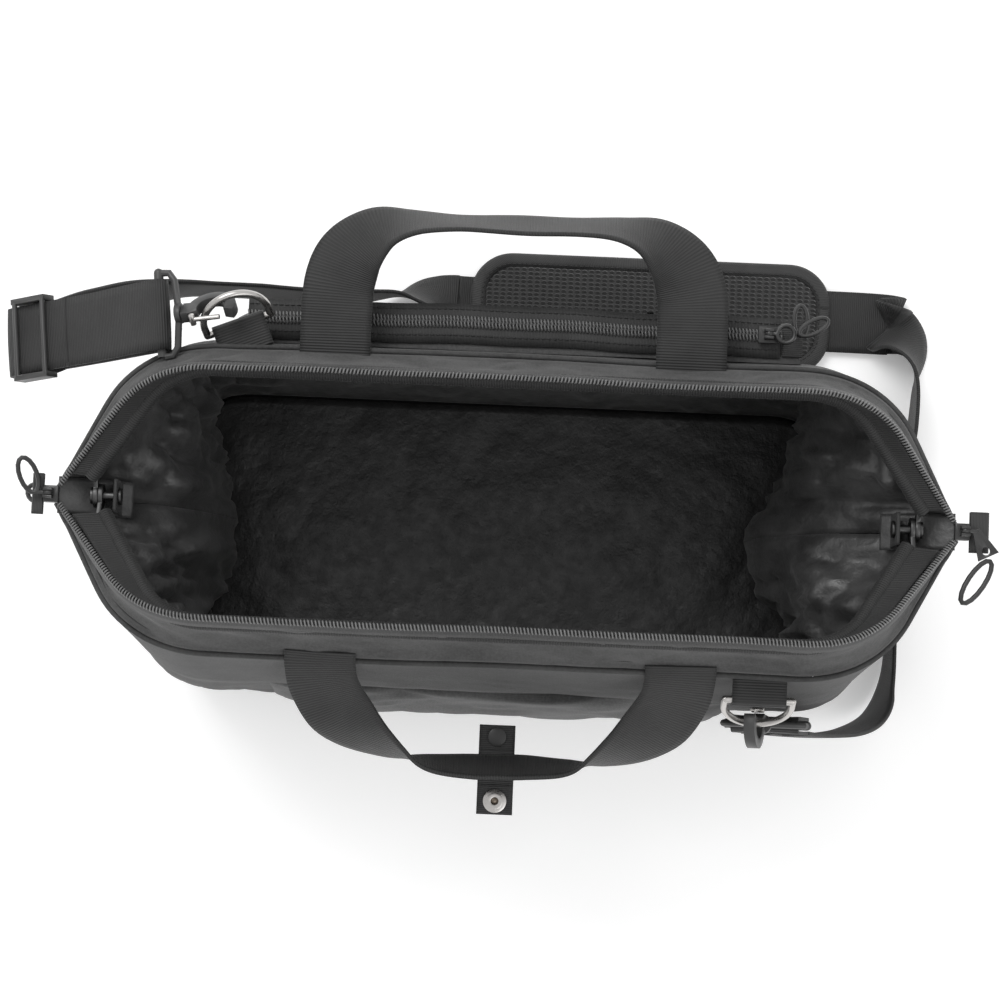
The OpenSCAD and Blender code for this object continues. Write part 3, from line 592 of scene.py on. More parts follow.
def cornered(end, corner, middle, radius, steps=14):
    """From an end over a rounded corner to a middle, in a plane."""
    end, corner, middle = (np.array(p, float) for p in (end, corner, middle))
    start = corner + unit(end - corner) * radius
    stop = corner + unit(middle - corner) * radius
    arc = [mix(mix(start, corner, t), mix(corner, stop, t), t) for t in np.linspace(0, 1, steps)]
    return np.array([end, *arc, middle])


LEG_STEPS = 26
BAR_STEPS = 70


def halved(line):
    """One quarter line as evenly spaced points: the leg, and then the bar from the corner on."""
    corner = len(line) // 2
    leg = resampled(line[:corner + 1], LEG_STEPS)
    bar = resampled(line[corner:], BAR_STEPS)
    return np.concatenate([leg, bar[1:]])


def both_ways(quarter):
    """A quarter line and its mirror image, from -X to +X."""
    mirrored = quarter * np.array([-1, 1, 1])[:quarter.shape[1]]
    return np.concatenate([mirrored, quarter[::-1][1:]])


def body_line(z, inset, side):
    """Half of the body's outline at a height, from one end's middle to the other's."""
    quarter = halved(cornered((end_at(z) - inset, 0), (corner_at(z) - inset, side_at(z) - inset),
                              (0, side_at(z) - inset), BASE_CORNER - inset / 2))
    line = both_ways(quarter)
    return np.stack([line[:, 0], side * line[:, 1], np.full(len(line), float(z))], axis=1)


def leg_u(w):
    return TIP_X + (CORNER_X - TIP_X) * w / zip_w


def mouth_plane(end_w):
    """The zip's line in its own plane, over the whole half of the mouth."""
    return both_ways(halved(cornered((leg_u(end_w), end_w), (CORNER_X, zip_w), (0, zip_w), MOUTH_CORNER)))


def zip_line(end_w, side):
    """The zip's line in the frame, on one half of the mouth, with the soft waves of the cloth."""
    plane = mouth_plane(end_w)
    share = np.clip((plane[:, 1] - end_w) / (zip_w - end_w), 0, 1)
    wave = np.array([1.5 * noise_at((u, side * 40, 0), 62, 2) * s for u, s in zip(plane[:, 0], share)])
    w = plane[:, 1] + wave
    return np.stack([plane[:, 0],
                     side * (w * math.sin(zip_tilt) + ZIP_STAND_OFF * math.cos(zip_tilt)),
                     hinge_z + w * math.cos(zip_tilt) - ZIP_STAND_OFF * math.sin(zip_tilt)], axis=1)


def collar_ways(end_w, side):
    """The way that the collar runs down from the zip, with its length, at each point of the line."""
    plane = mouth_plane(end_w)
    along = np.gradient(plane, axis=0)
    share = np.clip((plane[:, 1] - TIP_END_W) / (zip_w - TIP_END_W), 0, 1)
    out = unit(np.stack([-along[:, 1] * math.sin(zip_tilt), along[:, 0]], axis=1))
    lean = TIP_LEAN + (COLLAR_LEAN - TIP_LEAN) * share
    drop = TIP_DROP + (COLLAR_DROP - TIP_DROP) * share
    ways = np.stack([out[:, 0] * lean, side * out[:, 1] * lean, -drop], axis=1)
    return unit(ways), np.linalg.norm(ways, axis=1)


def zip_frame(end_w, side):
    """The zip's line, the collar's way down from it, that way's length and the way out."""
    line = zip_line(end_w, side)
    ways, lengths = collar_ways(end_w, side)
    outs = unit(np.cross(np.gradient(line, axis=0), ways)) * -side
    return line, ways, lengths, outs


def mouth_body(side):
    return "front_mouth" if side == FRONT else "rear_mouth"


def blend_mouth(piece):
    """Bakes the piece's placement into its mesh."""
    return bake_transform(piece)


# ---- Body ------------------------------------------------------------------

LOW_LEVELS = [3, 7, 12, 20, 30, 42, 55, 68, 82, 96, 110, 124, 138, 150, FOLD_Z]
RIM_END_W = 2
MOUTH_ROWS = 10


def rim_line(side, along_way, inward):
    """The edge where a wall meets the collar or the zip tape, closed at the bag's ends."""
    ways, lengths = collar_ways(RIM_END_W, side)
    line = zip_line(RIM_END_W, side)
    reach = lengths if along_way is None else np.minimum(along_way, lengths)
    line = line + ways * reach[:, None]
    line[:, 1] -= side * np.minimum(inward, np.abs(line[:, 1]))
    near_end = np.clip(1 - np.abs(line[:, 1]) / 14, 0, 1)
    line[:, 1] -= line[:, 1] * near_end ** 2
    return line


def wall_rows(side, inset, rim):
    """A wall from the base up to a rim."""
    rows = [body_line(z, inset, side) for z in LOW_LEVELS]
    for t in np.linspace(0, 1, MOUTH_ROWS + 1)[1:]:
        rows.append(mix(rows[len(LOW_LEVELS) - 1], rim, t))
    return np.array(rows)


def wall_mask(rows, top=0.1):
    """1 in the middle of a wall and 0 along its edges, so that two halves still meet at the ends.
    The last share of the rows, top, fades out."""
    down = np.linspace(0, 1, rows.shape[0])
    across = np.linspace(0, 1, rows.shape[1])
    edge = np.clip(np.minimum(down / 0.12, (1 - down) / top), 0, 1)
    end = np.clip(np.minimum(across, 1 - across) / 0.04, 0, 1)
    return edge[:, None] * end[None, :]


def finer(rows, factor):
    """The same surface with more rows."""
    count = rows.shape[0]
    wanted = np.linspace(0, count - 1, (count - 1) * factor + 1)
    low = np.minimum(wanted.astype(int), count - 2)
    share = (wanted - low)[:, None, None]
    return rows[low] * (1 - share) + rows[low + 1] * share


for name, side in SIDES.items():
    shell = finer(wall_rows(side, 0, rim_line(side, None, 0)), 2)
    shell = creased(shell, 3.4, 46, 3, stretch=(0.8, 1.0, 1.25), mask=wall_mask(shell, 0.6) ** 2)
    piece = cloth(f"{name}_shell", shell, SHELL, 2.4, offset=-side)
    if side == FRONT:
        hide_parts("outer_shell")
    blend_mouth(piece)

LINING_INSET = 6
LEFT_SAG = 60
RIGHT_SAG = 84
for name, side in SIDES.items():
    rim = rim_line(side, 10, 1.5)
    lining = finer(wall_rows(side, LINING_INSET, rim)[1:], 3)
    wall_reach = np.abs(lining[:, :, :2])
    height = np.clip((lining[:, :, 2] - 7) / (rim[:, 2][None, :] - 7), 0, 1)
    end_share = np.clip((np.abs(lining[:, :, 0]) - 60) / 165, 0, 1) ** 2
    middle = np.clip(1 - np.abs(lining[:, :, 1]) / 95, 0, 1) ** 0.6
    depth = np.where(lining[:, :, 0] < 0, LEFT_SAG, RIGHT_SAG)
    sag = depth * np.sin(math.pi * height ** 0.8) * end_share * middle
    lining[:, :, 0] -= np.sign(lining[:, :, 0]) * sag
    mask = wall_mask(lining) * (0.5 + 1.1 * end_share)
    lining = creased(lining, 17, 52, 11, stretch=(1.0, 1.9, 0.4), mask=mask)
    lining = creased(lining, 8, 24, 15, stretch=(1.2, 2.0, 0.4), mask=mask)
    # The folds go inward only, so that they never show through the collar.
    lining[:, :, :2] = np.clip(lining[:, :, :2], -wall_reach, wall_reach)
    piece = cloth(f"{name}_lining", lining, LIT_LINING, 0.7)
    if side == FRONT:
        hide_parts("lining")
    blend_mouth(piece)

floor_edges = [body_line(7.4, 8, side) for side in (FRONT, REAR)]
floor_rows = np.array([mix(*floor_edges, t) for t in np.linspace(0, 1, 40)])
floor_rows[:, :, 2] += np.abs(noise_over(floor_rows, 1.6, 30, 9))
stands_for(cloth("floor_lining", floor_rows, FLOOR_LINING, 0.7), "lining_fabric", body="bag_body")

piping = np.concatenate([body_line(4.6, -0.6, FRONT), body_line(4.6, -0.6, REAR)[::-1][1:-1]])
stands_for(tube("base_piping", piping, 1.9, GROSGRAIN, closed=True, sides=10), "binding", body="bag_body")


def pillow(half_length, low, high, depth, side, boxy, back=0.4, columns=90, rows=34):
    """A full pocket on a wall, from its lower seam out and up to its upper one.
    The boxier it is, the flatter its face."""
    made = []
    for phi in np.linspace(-math.pi / 2, math.pi / 2, rows):
        out = abs(math.cos(phi)) ** (2 / boxy)
        up = math.copysign(abs(math.sin(phi)) ** (2 / boxy), phi)
        z = (low + high) / 2 + (high - low) / 2 * up
        line = []
        for x in np.linspace(-1, 1, columns):
            x = math.copysign(abs(x) ** 0.8, x)
            full = (1 - abs(x) ** 6) ** (1 / 3)
            line.append([x * half_length, side * (wall_y(z) + back + depth * out * full), z])
        made.append(line)
    return np.array(made)


rows = pillow(half_length=130, low=24, high=152, depth=10.5, side=FRONT, boxy=2.6)
rows = creased(rows, 6.0, 38, 21, stretch=(0.5, 1.0, 1.3), mask=wall_mask(rows) * 0.9)
stands_for(cloth("front_pocket_cloth", rows, POCKET), "outer_fabric", "front_pocket", body="bag_body")

rows = pillow(half_length=158, low=44, high=194, depth=25, side=REAR, boxy=6.5, rows=60)
rows = creased(rows, 2.6, 42, 27, stretch=(0.7, 1.0, 1.0), mask=wall_mask(rows) * 0.8)
stands_for(cloth("rear_pocket_cloth", rows, POCKET), "outer_fabric", "rear_pocket", body="bag_body")

# ---- Zips ------------------------------------------------------------------

COIL_PITCH = 1.9
TAPE_END_W = 5
BAND_END_W = 14
BAND_START = 8.5


def coil(line, wide_ways, thick_ways, wide, thick, radius=0.5, per_turn=9):
    """A nylon coil along a line, as one flattened helix."""
    both = np.concatenate([line, wide_ways, thick_ways], axis=1)
    length = np.sum(np.linalg.norm(np.diff(line, axis=0), axis=1))
    turns = int(length / COIL_PITCH)
    fine = resampled(both, turns * per_turn + 1, measured=3)
    angle = np.linspace(0, turns * 2 * math.pi, len(fine))
    helix = (fine[:, :3] + fine[:, 3:6] * (wide * np.cos(angle))[:, None]
             + fine[:, 6:9] * (thick * np.sin(angle))[:, None])
    return sweep_data(helix, radius, sides=5, normal=(0.3, 0.2, 1))


def strip_rows(line, ways, outs, distances, bulges):
    """Rows of a strip that runs down from the zip's line."""
    return np.array([line + ways * np.reshape(d, (-1, 1)) + outs * np.reshape(b, (-1, 1))
                     for d, b in zip(distances, bulges)])


for name, side in SIDES.items():
    body = mouth_body(side)
    line, ways, lengths, outs = zip_frame(TAPE_END_W, side)
    tape = strip_rows(line, ways, outs, [0.5, 3, 6, np.minimum(10, lengths)], [0, 0, 0, 0])
    stands_for(cloth(f"{name}_zip_tape", tape, TAPE, 1.0), "zip", f"{name}_zip", body=body)
    chain = coil(line, ways, outs, 2.0, 1.3)
    stands_for(joined(f"{name}_zip_coil", [chain], COIL), "zip", body=body)
    stitch = line + ways * 6.5 + outs * 0.7
    stands_for(stitching(f"{name}_zip_stitches", stitch, outs, THREAD), "zip", body=body)

    line, ways, lengths, outs = zip_frame(BAND_END_W, side)
    shares = np.linspace(0, 1, 15)
    distances = [BAND_START + (lengths - BAND_START) * s for s in shares]
    bulges = [np.full(len(line), 0.9 + 2.4 * math.sin(math.pi * s)) for s in shares]
    band = strip_rows(line, ways, outs, distances, bulges)
    band = creased(band, 2.2, 24, 31, stretch=(0.7, 1.0, 1.2), mask=wall_mask(band))
    stands_for(cloth(f"{name}_collar_band", band, COLLAR, 1.6), "outer_fabric", f"{name}_collar", body=body)
    seam = strip_rows(line, ways, outs, [lengths - 5.5, lengths - 3.5, lengths - 1, lengths + 0.8],
                      [np.full(len(line), b) for b in (2.2, 2.9, 2.6, 1.2)])
    stands_for(cloth(f"{name}_collar_seam", seam, GROSGRAIN, 0.9), "binding", body=body)
    stitch = line + ways * (lengths - 7.5)[:, None] + outs * 2.9
    stands_for(stitching(f"{name}_collar_stitches", stitch, outs, THREAD), "outer_fabric", body=body)

CHAIN_POINTS = 40
pocket_low, pocket_high = node_span("rear_pocket_zip")
chain_y = pocket_high[1] - 10
chain_z = pocket_low[2] + 1.4
chain_ends = [[x, chain_y, chain_z] for x in (pocket_low[0], pocket_high[0])]
chain_line = np.linspace(*chain_ends, CHAIN_POINTS)
chain_line[:, 1] += np.array([1.6 * noise_at((x, 0, 0), 50, 8) for x in chain_line[:, 0]])
tape_rows = np.array([chain_line + np.array([0, d, -0.6 - 0.02 * abs(d)])
                      for d in (-12, -6, -3.4, 3.4, 6, 10)])
stands_for(cloth("rear_pocket_zip_tape", tape_rows, TAPE, 0.9), "zip", "rear_pocket_zip", body="bag_body")
across = np.repeat([[0, 1, 0]], CHAIN_POINTS, axis=0)
upward = np.repeat([[0, 0, 1]], CHAIN_POINTS, axis=0)
halves = [coil(chain_line + np.array([0, d, 0.5]), across, upward, 1.7, 1.2) for d in (-1.35, 1.35)]
stands_for(joined("rear_pocket_zip_coil", halves, COIL), "zip", body="bag_body")
for k, d in enumerate((-7.5, 7.0)):
    stitch = chain_line + np.array([0, d, 0.1])
    stands_for(stitching(f"rear_pocket_zip_stitches_{k}", stitch, upward, THREAD), "zip", body="bag_body")

# ---- Handles ---------------------------------------------------------------


def handle_stations(slant):
    """A handle in its own frame. The slant is how far its arms lean in towards the grip."""
    half = [((-HANDLE_X, -4, -1.2), (1, 0, 0)),
            ((-HANDLE_X, 6, 0), (1, 0, 0)),
            ((-HANDLE_X + slant * 0.1, 20, 0.5), (1, 0, 0)),
            ((-HANDLE_X + 1 + slant * 0.45, 38, 1), (1, -0.08, 0)),
            ((-HANDLE_X + 7 + slant * 0.8, 54, 2), (0.85, -0.45, 0.3)),
            ((-HANDLE_X + 20 + slant, 66, 3), (0.5, -0.6, 0.62)),
            ((-HANDLE_X + 38 + slant, 71, 4), (0.15, -0.5, 0.85)),
            ((-HANDLE_X + 62 + slant, HANDLE_REACH, 4), (0, -0.42, 0.9)),
            ((0, HANDLE_REACH, 4), (0, -0.42, 0.9))]
    far = [((-p[0], p[1], p[2]), (-w[0], w[1], w[2])) for p, w in reversed(half[:-1])]
    return half + far


def on_handle(p, droop):
    """From a handle's own frame to the bag's."""
    a = math.radians(droop)
    x, y, z = p
    y, z = y * math.cos(a) + z * math.sin(a), -y * math.sin(a) + z * math.cos(a)
    return x, y, z


handle_y = seam_y + 1.6
for name, side, droop, slant in (("front", FRONT, FRONT_DROOP, 20), ("rear", REAR, 0, 0)):
    stations = []
    for place, width in handle_stations(slant):
        x, y, z = on_handle(place, droop)
        wx, wy, wz = on_handle(width, droop)
        stations.append(((x, side * (handle_y + y), seam_z + z), (wx, side * wy, wz)))
    rows = ribbon_rows(stations, per_span=10, across=10)
    rows += grid_normals(rows) * noise_over(rows, 1.3, 38, 41)[:, :, None]
    stands_for(cloth(f"{name}_handle_webbing", rows, WEBBING, WEBBING_T), "webbing", f"{name}_handle",
               body=f"{name}_grip")

# ---- Rods, and what shows inside the mouth ---------------------------------

ROD_DROP = 17
ROD_OUT = 2.5
ROD_CORNER_X = 180
ROD_FOOT_W = 10
ROD_FOOT_X = {"front": 216.5, "rear": 224.6}
ROD_CORNER = 24
SLEEVE_R = 4.4
FACING_POINTS = 160
FACING_END_W = 13
FACING_RISE = 2.5
rod_w = math.hypot(half_gap + ROD_OUT, MOUTH_RISE - ROD_DROP)
rod_tilt = math.atan2(half_gap + ROD_OUT, MOUTH_RISE - ROD_DROP)


def sleeve_rows(line, radius, around=14):
    """A tube of cloth round a line, as rows along it."""
    points, _ = sweep_data(line, radius, sides=around)
    rings = points.reshape(len(line), around, 3).transpose(1, 0, 2)
    return np.concatenate([rings, rings[:1]])


for name, side in SIDES.items():
    foot = (ROD_FOOT_X[name], ROD_FOOT_W + 1)
    plane = both_ways(halved(cornered(foot, (ROD_CORNER_X, rod_w), (0, rod_w), ROD_CORNER)))
    line = np.stack([plane[:, 0], side * plane[:, 1] * math.sin(rod_tilt),
                     hinge_z + plane[:, 1] * math.cos(rod_tilt)], axis=1)
    rows = sleeve_rows(line, SLEEVE_R)
    rows[:, :, 2] += noise_over(rows, 0.5, 9, 51)
    stands_for(cloth(f"{name}_rod_sleeve", rows, SLEEVE), "binding", body=mouth_body(side))
    hem = resampled(line, FACING_POINTS) + np.array([0, 0, FACING_RISE])
    edge = resampled(zip_line(FACING_END_W, side), FACING_POINTS)
    facing = np.array([mix(edge, hem, t) for t in np.linspace(0.15, 1, 8)])
    stands_for(cloth(f"{name}_collar_facing", facing, SLEEVE, 0.8), "binding", body=mouth_body(side))
    dress(f"{name}_rod", STEEL)

for end in ("left", "right"):
    way = -1 if end == "left" else 1
    dress(f"{end}_hinge_rivet", STEEL)
    low, high = node_span(f"{end}_hinge_patch")
    x = (low[0] + high[0]) / 2
    patch = level([(x + way * 0.5, 0, low[2] - 4), (x, 0, low[2] + 10), (x, 0, high[2])], ALONG_Y)
    stands_for(ribbon(f"{end}_hinge_webbing", patch, WEBBING, 1.8, width=high[1] - low[1]),
               "webbing", f"{end}_hinge_patch", body="bag_body")
    gusset = level([(way * x, 0, hinge_z - drop)
                    for x, drop in ((243, 1.5), (232, 6), (218, 12), (205, 20))], ALONG_Y)
    stands_for(ribbon(f"{end}_tip_gusset", gusset, LIT_LINING, 0.7, width=20), "lining_fabric", body="bag_body")
    low, high = node_span(f"{end}_end_tab")
    inner, outer = (high[0], low[0]) if way < 0 else (low[0], high[0])
    middle = (low[2] + high[2]) / 2
    fold = level([(inner, 0, middle + 1.6), (mix(inner, outer, 0.55), 0, middle + 1.7),
                  (outer - way * 0.7, 0, middle + 1.2), (outer - way * 0.4, 0, middle - 1),
                  (mix(inner, outer, 0.5), 0, middle - 1.6), (inner, 0, middle - 1.5)], ALONG_Y)
    stands_for(ribbon(f"{end}_tab_fabric", fold, TAPE, 0.9, width=high[1] - low[1]),
               "binding", f"{end}_end_tab", body="bag_body")
    dress(f"{end}_zip_slider", ENAMEL)

for node in ("left_upper_pull", "left_lower_pull", "right_pull_loop", "pocket_pull_loops"):
    dress(node, CORD, 0.2)
for node in ("right_pull_plate", "pocket_slider", "pocket_pull_ring"):
    dress(node, ENAMEL, 0.25)

low, high = node_span("rear_pocket_end_web")
x, z = (low[0] + high[0]) / 2, (low[2] + high[2]) / 2
web = level([(x, low[1], z - 0.6), (x, (low[1] + high[1]) / 2, z + 0.3), (x, high[1], z - 0.6)], ALONG_X)
stands_for(ribbon("rear_pocket_end_webbing", web, GROSGRAIN, 1.4, width=high[0] - low[0]),
           "webbing", "rear_pocket_end_web", body="bag_body")
dress("base_panel", DARK_BOARD, 1.2)
dress("base_board", DARK_BOARD)

NET_LOW, NET_HIGH = 60, 168
for name in ("left_mesh_pocket", "right_mesh_pocket"):
    low, high = node_span(name)
    rows = []
    for z in np.linspace(NET_LOW, NET_HIGH, 24):
        share = (z - NET_LOW) / (NET_HIGH - NET_LOW)
        line = []
        for x in np.linspace(low[0], high[0], 30):
            across = abs(2 * (x - low[0]) / (high[0] - low[0]) - 1)
            stand = 5.5 + 10 * (1 - across ** 4) * (0.25 + 0.75 * share)
            line.append((x, -side_at(z) + stand + 1.2 * noise_at((x, 0, z), 20, 61), z))
        rows.append(line)
    rows = np.array(rows)
    net = stands_for(cloth(f"{name}_net", rows, NET), "net", name, body="bag_body")
    stands_for(tube(f"{name}_elastic", rows[-1], 1.7, GROSGRAIN), "net", body="bag_body")

# ---- Handle wrap and press stud --------------------------------------------

FLAP_TUCK = 0.8


def strip_across(name, node, slot_name, body, curl, out):
    """A flat strip from a CAD node's box that runs along Y and curls up at its free end.
    Its other end tucks under the strip that it is sewn to."""
    low, high = node_span(node)
    x, z = (low[0] + high[0]) / 2, low[2] + 0.8
    start, stop = (low[1] - FLAP_TUCK, high[1]) if out > 0 else (high[1] + FLAP_TUCK, low[1])
    places = [(x, mix(start, stop, t), z + curl * t ** 3) for t in np.linspace(0, 1, 6)]
    strip = ribbon(name, level(places, ALONG_X), GROSGRAIN, 1.5, width=high[0] - low[0])
    return stands_for(strip, slot_name, node, body=body)


strip_across("wrap_cloth", "handle_wrap", "webbing", "front_grip", 0.0, 1)
strip_across("cap_flap_cloth", "wrap_cap_flap", "webbing", "cap_flap", 0.5, 1)
strip_across("socket_flap_cloth", "wrap_socket_flap", "webbing", "socket_flap", 0.5, -1)
dress("snap_cap", ENAMEL, 0.3)
dress("snap_socket", NICKEL, 0.25)
low, high = node_span("snap_socket")
stud = [((low[0] + high[0]) / 2, (low[1] + high[1]) / 2, low[2] + h) for h in (1.25, 1.6)]
stands_for(tube("snap_well", stud, 2.1, COPPER, sides=24, normal=(1, 0, 0)), "nickel", body="socket_flap")

# ---- Rings and snap hooks --------------------------------------------------

RING_R = 2
TAB_W = 29
REAR_RING_TURN = 22


def tab_stations(place, turn, tail):
    """The way of a tab's webbing: up from the seam, round the ring's bar and back under itself."""
    outer = RING_R + 1.65
    around = [(0, outer - 0.8), (2, 2), (outer - 0.8, 0), (2, -2), (0, 0.8 - outer), (-2.2, -1.8)]
    profile = [(-tail, outer - 1), (-tail / 2, outer - 0.9), *around, (-5, outer - 3), (-tail, outer - 3)]
    a = math.radians(turn)
    width = np.array([math.cos(a), math.sin(a), 0])
    out = np.array([-math.sin(a), math.cos(a), 0])
    return level([place + out * y + np.array([0, 0, z]) for y, z in profile], width)


for name, turn, tail in (("rear", REAR_RING_TURN, 16), ("front", 180, 17)):
    place = joint_place(f"{name}_ring_swing")
    stations = tab_stations(place, turn, tail)
    piece = ribbon(f"{name}_tab_webbing", stations, WEBBING, 1.5, width=TAB_W)
    stands_for(piece, "webbing", f"{name}_ring_tab", body=f"{name}_mouth")
    dress(f"{name}_ring", NICKEL, 0.15)
    dress(f"{name}_hook", HOOK, 0.8)
    dress(f"{name}_hook_gate", NICKEL, 0.2)
    dress(f"{name}_hook_loop", HOOK, 0.4)
dress("strap_slider", HOOK, 0.5)

# ---- Shoulder strap --------------------------------------------------------

BAR_BACK = 12
BAR_OFFSET = 3.9
REAR_RISE = math.radians(12)
REAR_YAW = math.radians(6)
FRONT_LEAN = math.radians(72)
REAR_HOOK = np.array([-178.8, 98.7, 223.4])
FRONT_HOOK = np.array([144.3, -107.5, 174.5])
GLIDE_X, GLIDE_Z = -267, 172

rear_way = np.array([math.cos(REAR_RISE) * math.cos(REAR_YAW), math.cos(REAR_RISE) * math.sin(REAR_YAW),
                     math.sin(REAR_RISE)])
rear_bar = REAR_HOOK - BAR_BACK * rear_way
glide = np.array([GLIDE_X, rear_bar[1] - (rear_bar[0] - GLIDE_X) * math.tan(REAR_YAW), GLIDE_Z])
run_way = unit(rear_bar - glide)
run_side = unit([-run_way[1], run_way[0], 0])
run_up = np.cross(run_way, run_side)
run_length = np.linalg.norm(rear_bar - glide)
front_way = np.array([-math.cos(FRONT_LEAN), 0, math.sin(FRONT_LEAN)])
front_bar = FRONT_HOOK - BAR_BACK * front_way
front_side = unit(np.cross(-front_way, [0, 1, 0]))
front_out = np.cross(front_side, -front_way)
pad_centre = (pad_low + pad_high) / 2


def on_run(along, up):
    return glide + along * run_way + up * run_up


def off_bar(along, out):
    return front_bar - along * front_way + out * front_out


under = [on_run(18, -5.2), on_run(46, -5.2), on_run(run_length - 10, -BAR_OFFSET)]
round_bar = [rear_bar + BAR_OFFSET * (math.cos(a) * run_way + math.sin(a) * run_up)
             for a in np.radians([-90, -45, 0, 45, 90])]
over = [on_run(run_length - 10, BAR_OFFSET), on_run(54, 1.4), on_run(44, 0.3), on_run(24, 0.3)]
rear_loop = level(under + round_bar + over, run_side)
behind_bar = [on_run(a, 0.3) for a in (26, 0, -14)]
turned_down = [on_run(-15 - 6 * math.sin(a), -6.7 + 7 * math.cos(a)) for a in np.radians([40, 90, 140])]
rear_route = level([*behind_bar, *turned_down, on_run(-8, -14)], run_side)
rear_route += [((-252, 97, 153), (-0.2, 0.9, 0.3)), ((-238, 108, 141), (-0.1, 0.6, 0.75)),
               ((-218, 122, 125), (0, 0.2, 0.95)), ((-192, 132, 104), (0, 0, 1)),
               ((-160, 137, 81), (0, 0, 1)), ((-127, 140, 58), (0, 0, 1)), ((-96, 144, 37), (0, 0, 1)),
               ((-76, 147, 25), (0, -0.1, 1)), ((-60, 148, 19), (0, -0.4, 0.9)),
               ((-47, 148, 12), (0, -0.8, 0.6)), ((-37, 147, 7), (0, -1, 0.15)),
               ((-24, pad_centre[1], pad_centre[2]), (0, -1, 0)), (pad_centre, (0, -1, 0))]
front_route = [(pad_centre, (0, -1, 0)), ((222, pad_centre[1], pad_centre[2]), (0, -1, 0)),
               ((233, pad_centre[1] - 4, 9), (-0.3, -0.9, 0.35)),
               ((243, pad_centre[1] - 15, 15), (-0.5, -0.5, 0.75)), ((248, 110, 19.5), (-0.1, -0.1, 1)),
               ((247, 80, 20), (0, 0, 1)), ((242, 50, 20), (0, 0, 1)), ((238, 10, 20), (0, 0, 1)),
               ((237, -40, 20), (0, 0, 1)), ((236, -72, 21), (0.05, 0, 1)),
               ((230, -92, 25), (0.25, 0.1, 0.95)), ((217, -104, 38), (0.55, 0.1, 0.8)),
               ((200, -110, 62), (0.75, 0.05, 0.6)), ((181, -112, 92), (0.88, 0, 0.45)),
               *level([off_bar(34, -BAR_OFFSET), off_bar(26, -BAR_OFFSET)], front_side)]
outer_run = [off_bar(26, BAR_OFFSET), off_bar(10, BAR_OFFSET)]
round_bar = [front_bar + BAR_OFFSET * (math.sin(a) * front_out + math.cos(a) * front_way)
             for a in np.radians([90, 45, 0, -45, -90])]
inner_run = [off_bar(10, -BAR_OFFSET), off_bar(24, -BAR_OFFSET)]
front_loop = level(outer_run + round_bar + inner_run, front_side)


def strap_ribbon(name, stations, seed, wave=0.7):
    """Strap webbing with the slow ripple of cloth that has hung free."""
    rows = ribbon_rows(stations, per_span=8, across=8, cup=0.5)
    rows += grid_normals(rows) * noise_over(rows, wave, 45, seed)[:, :, None]
    rows[:, :, 2] = np.maximum(rows[:, :, 2], WEBBING_T / 2 + 0.2)
    return cloth(name, rows, STRAP, WEBBING_T)


stands_for(strap_ribbon("strap_behind", rear_route, 71), "webbing", "rear_strap_run", body="bag_body")
stands_for(strap_ribbon("strap_round_end", front_route, 72), "webbing", "front_strap_run", body="bag_body")
piece = stands_for(strap_ribbon("strap_rear_loop", rear_loop, 73, wave=0.1), "webbing", "rear_strap_end")
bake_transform(piece)
piece = stands_for(strap_ribbon("strap_front_loop", front_loop, 74, wave=0.1), "webbing", "front_strap_end")
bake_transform(piece)

# ---- Shoulder pad ----------------------------------------------------------

PAD_CORNER = 26
BINDING_W = 9
RIM_POINTS = 240


def pad_rim(inset, steps=16):
    """The pad's outline in its own plane, at a distance inside the rim."""
    half = (pad_high - pad_low) / 2
    points = []
    for sx, sy, first in ((1, 1, 0), (-1, 1, 90), (-1, -1, 180), (1, -1, 270)):
        for a in np.radians(np.linspace(first, first + 90, steps)):
            points.append((sx * (half[0] - PAD_CORNER) + (PAD_CORNER - inset) * math.cos(a),
                           sy * (half[1] - PAD_CORNER) + (PAD_CORNER - inset) * math.sin(a)))
    return resampled(points + points[:1], RIM_POINTS + 1)[:-1]


def pad_face(up):
    """One face of the pad, crowned in the middle and quilted down to the binding."""
    thick = (pad_high[2] - pad_low[2]) / 2 + 1
    rim = pad_rim(BINDING_W - 2)
    rows = []
    for share in np.linspace(0.02, 1, 26):
        crown = (1 - share ** 5) ** 0.5
        line = [(p[0] * share, p[1] * share, up * thick * (0.55 + 0.5 * crown)) for p in rim]
        rows.append(line)
    rows = np.array(rows)
    rows[:, :, 2] += up * noise_over(rows, 0.45, 26, 81)
    return rows + pad_centre


faces = [pad_face(1), pad_face(-1)[::-1]]
pad_mesh = stands_for(cloth("pad_cushion", np.concatenate(faces), AIR_MESH, closed=True, flat=True),
                      "air_mesh", "shoulder_pad", body="shoulder_pad")
upper = [(BINDING_W, 3.4), (BINDING_W - 3, 4.2), (2.2, 3.7), (0.6, 2.2)]
profile = [*upper, (0.3, 0), *[(inset, -rise) for inset, rise in reversed(upper)]]
rows = np.array([np.c_[pad_rim(inset), np.full(RIM_POINTS, float(rise))] + pad_centre
                 for inset, rise in profile])
stands_for(cloth("pad_rim_binding", rows, GROSGRAIN, 0.8, closed=True), "binding", "pad_binding",
           body="shoulder_pad")
rim = np.c_[pad_rim(BINDING_W - 1.6), np.full(RIM_POINTS, 4.5)] + pad_centre
upward = np.repeat([[0, 0, 1]], RIM_POINTS, axis=0)
stands_for(stitching("pad_stitches", rim, upward, THREAD), "binding", body="shoulder_pad")

# ---- Stage -----------------------------------------------------------------

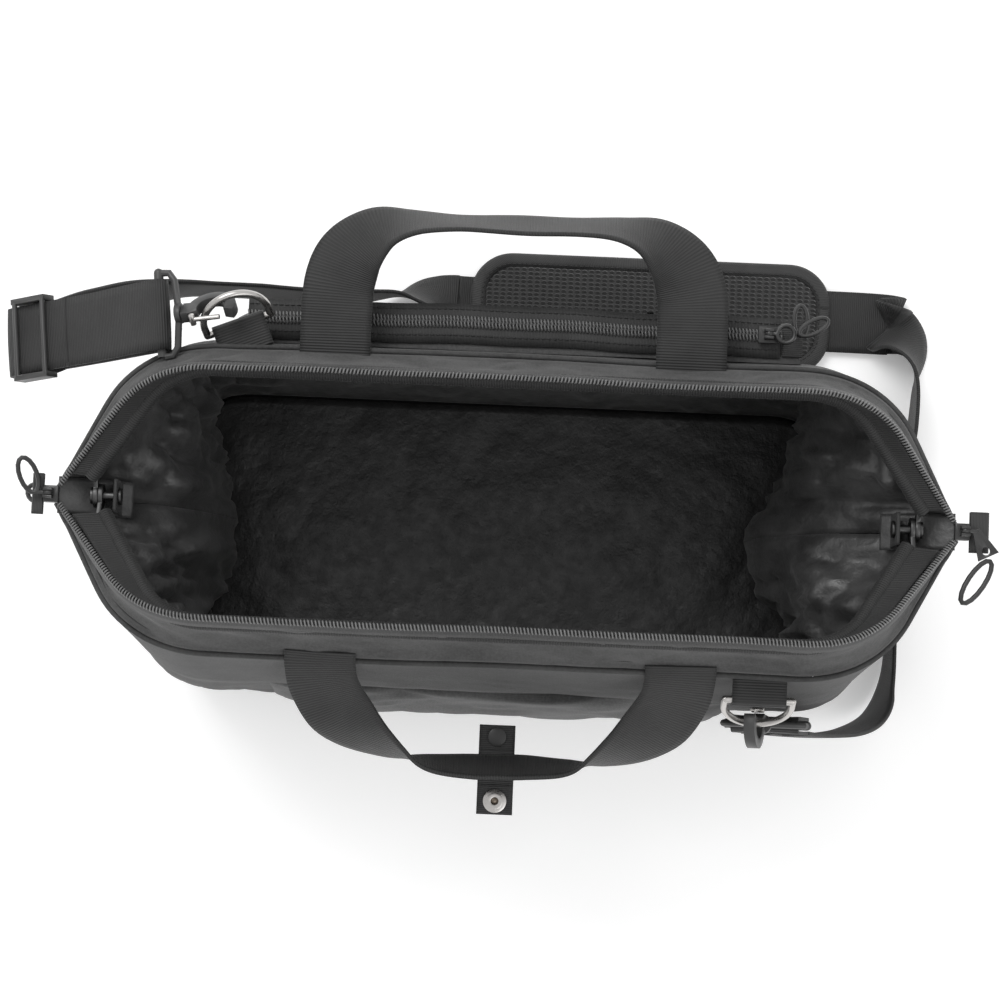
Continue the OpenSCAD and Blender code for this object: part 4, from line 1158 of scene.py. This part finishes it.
ELEVATION = math.radians(84.6)
ROLL = math.radians(2.4)
DISTANCE = 1.35
FOCAL = 2592
SENSOR = 36
LOOK_AT_Z = 0.257
FLOOR_REACH = 3000

camera = added("camera", bpy.data.cameras.new("camera"))
camera.data.sensor_width = SENSOR
camera.data.lens = FOCAL / 1000 * SENSOR
camera.data.shift_x = -0.007
camera.data.shift_y = 0.004
back = Vector((0, -math.cos(ELEVATION), math.sin(ELEVATION)))
up_image = Vector((0, math.sin(ELEVATION), math.cos(ELEVATION)))
right = Vector((1, 0, 0)) * math.cos(ROLL) + up_image * math.sin(ROLL)
up = -Vector((1, 0, 0)) * math.sin(ROLL) + up_image * math.cos(ROLL)
turn = Matrix((right, up, back)).transposed().to_4x4()
camera.matrix_world = Matrix.Translation(Vector((0, 0, LOOK_AT_Z)) + back * DISTANCE) @ turn
bpy.context.scene.camera = camera

floor_material = Shader("pale_floor").finish((0.93, 0.93, 0.93, 1), 0.9, **{"Emission Color": (1, 1, 1, 1),
                                                                          "Emission Strength": 0.22})
floor_corners = [(x * FLOOR_REACH, y * FLOOR_REACH, 0) for x, y in ((-1, -1), (1, -1), (1, 1), (-1, 1))]
floor = mesh_object("floor", floor_corners, [(0, 1, 2, 3)], floor_material)

world = bpy.data.worlds.new("studio")
world.use_nodes = True
world.node_tree.nodes["Background"].inputs[0].default_value = (1, 1, 1, 1)
world.node_tree.nodes["Background"].inputs[1].default_value = 0.85
bpy.context.scene.world = world


def softbox(name, place, target, size, power):
    lamp = bpy.data.lights.new(name, "AREA")
    lamp.shape = "RECTANGLE"
    lamp.size, lamp.size_y = size
    lamp.energy = power
    made = added(name, lamp)
    made.location = place
    made.rotation_euler = (Vector(target) - Vector(place)).to_track_quat("-Z", "Y").to_euler()
    return made


softbox("key", (-0.6, 0.9, 1.6), (0, 0, 0.1), (1.0, 0.8), 14)
softbox("fill", (0.9, -0.8, 1.4), (0, 0, 0.1), (1.0, 1.0), 5)
bpy.context.scene.view_settings.view_transform = "Standard"
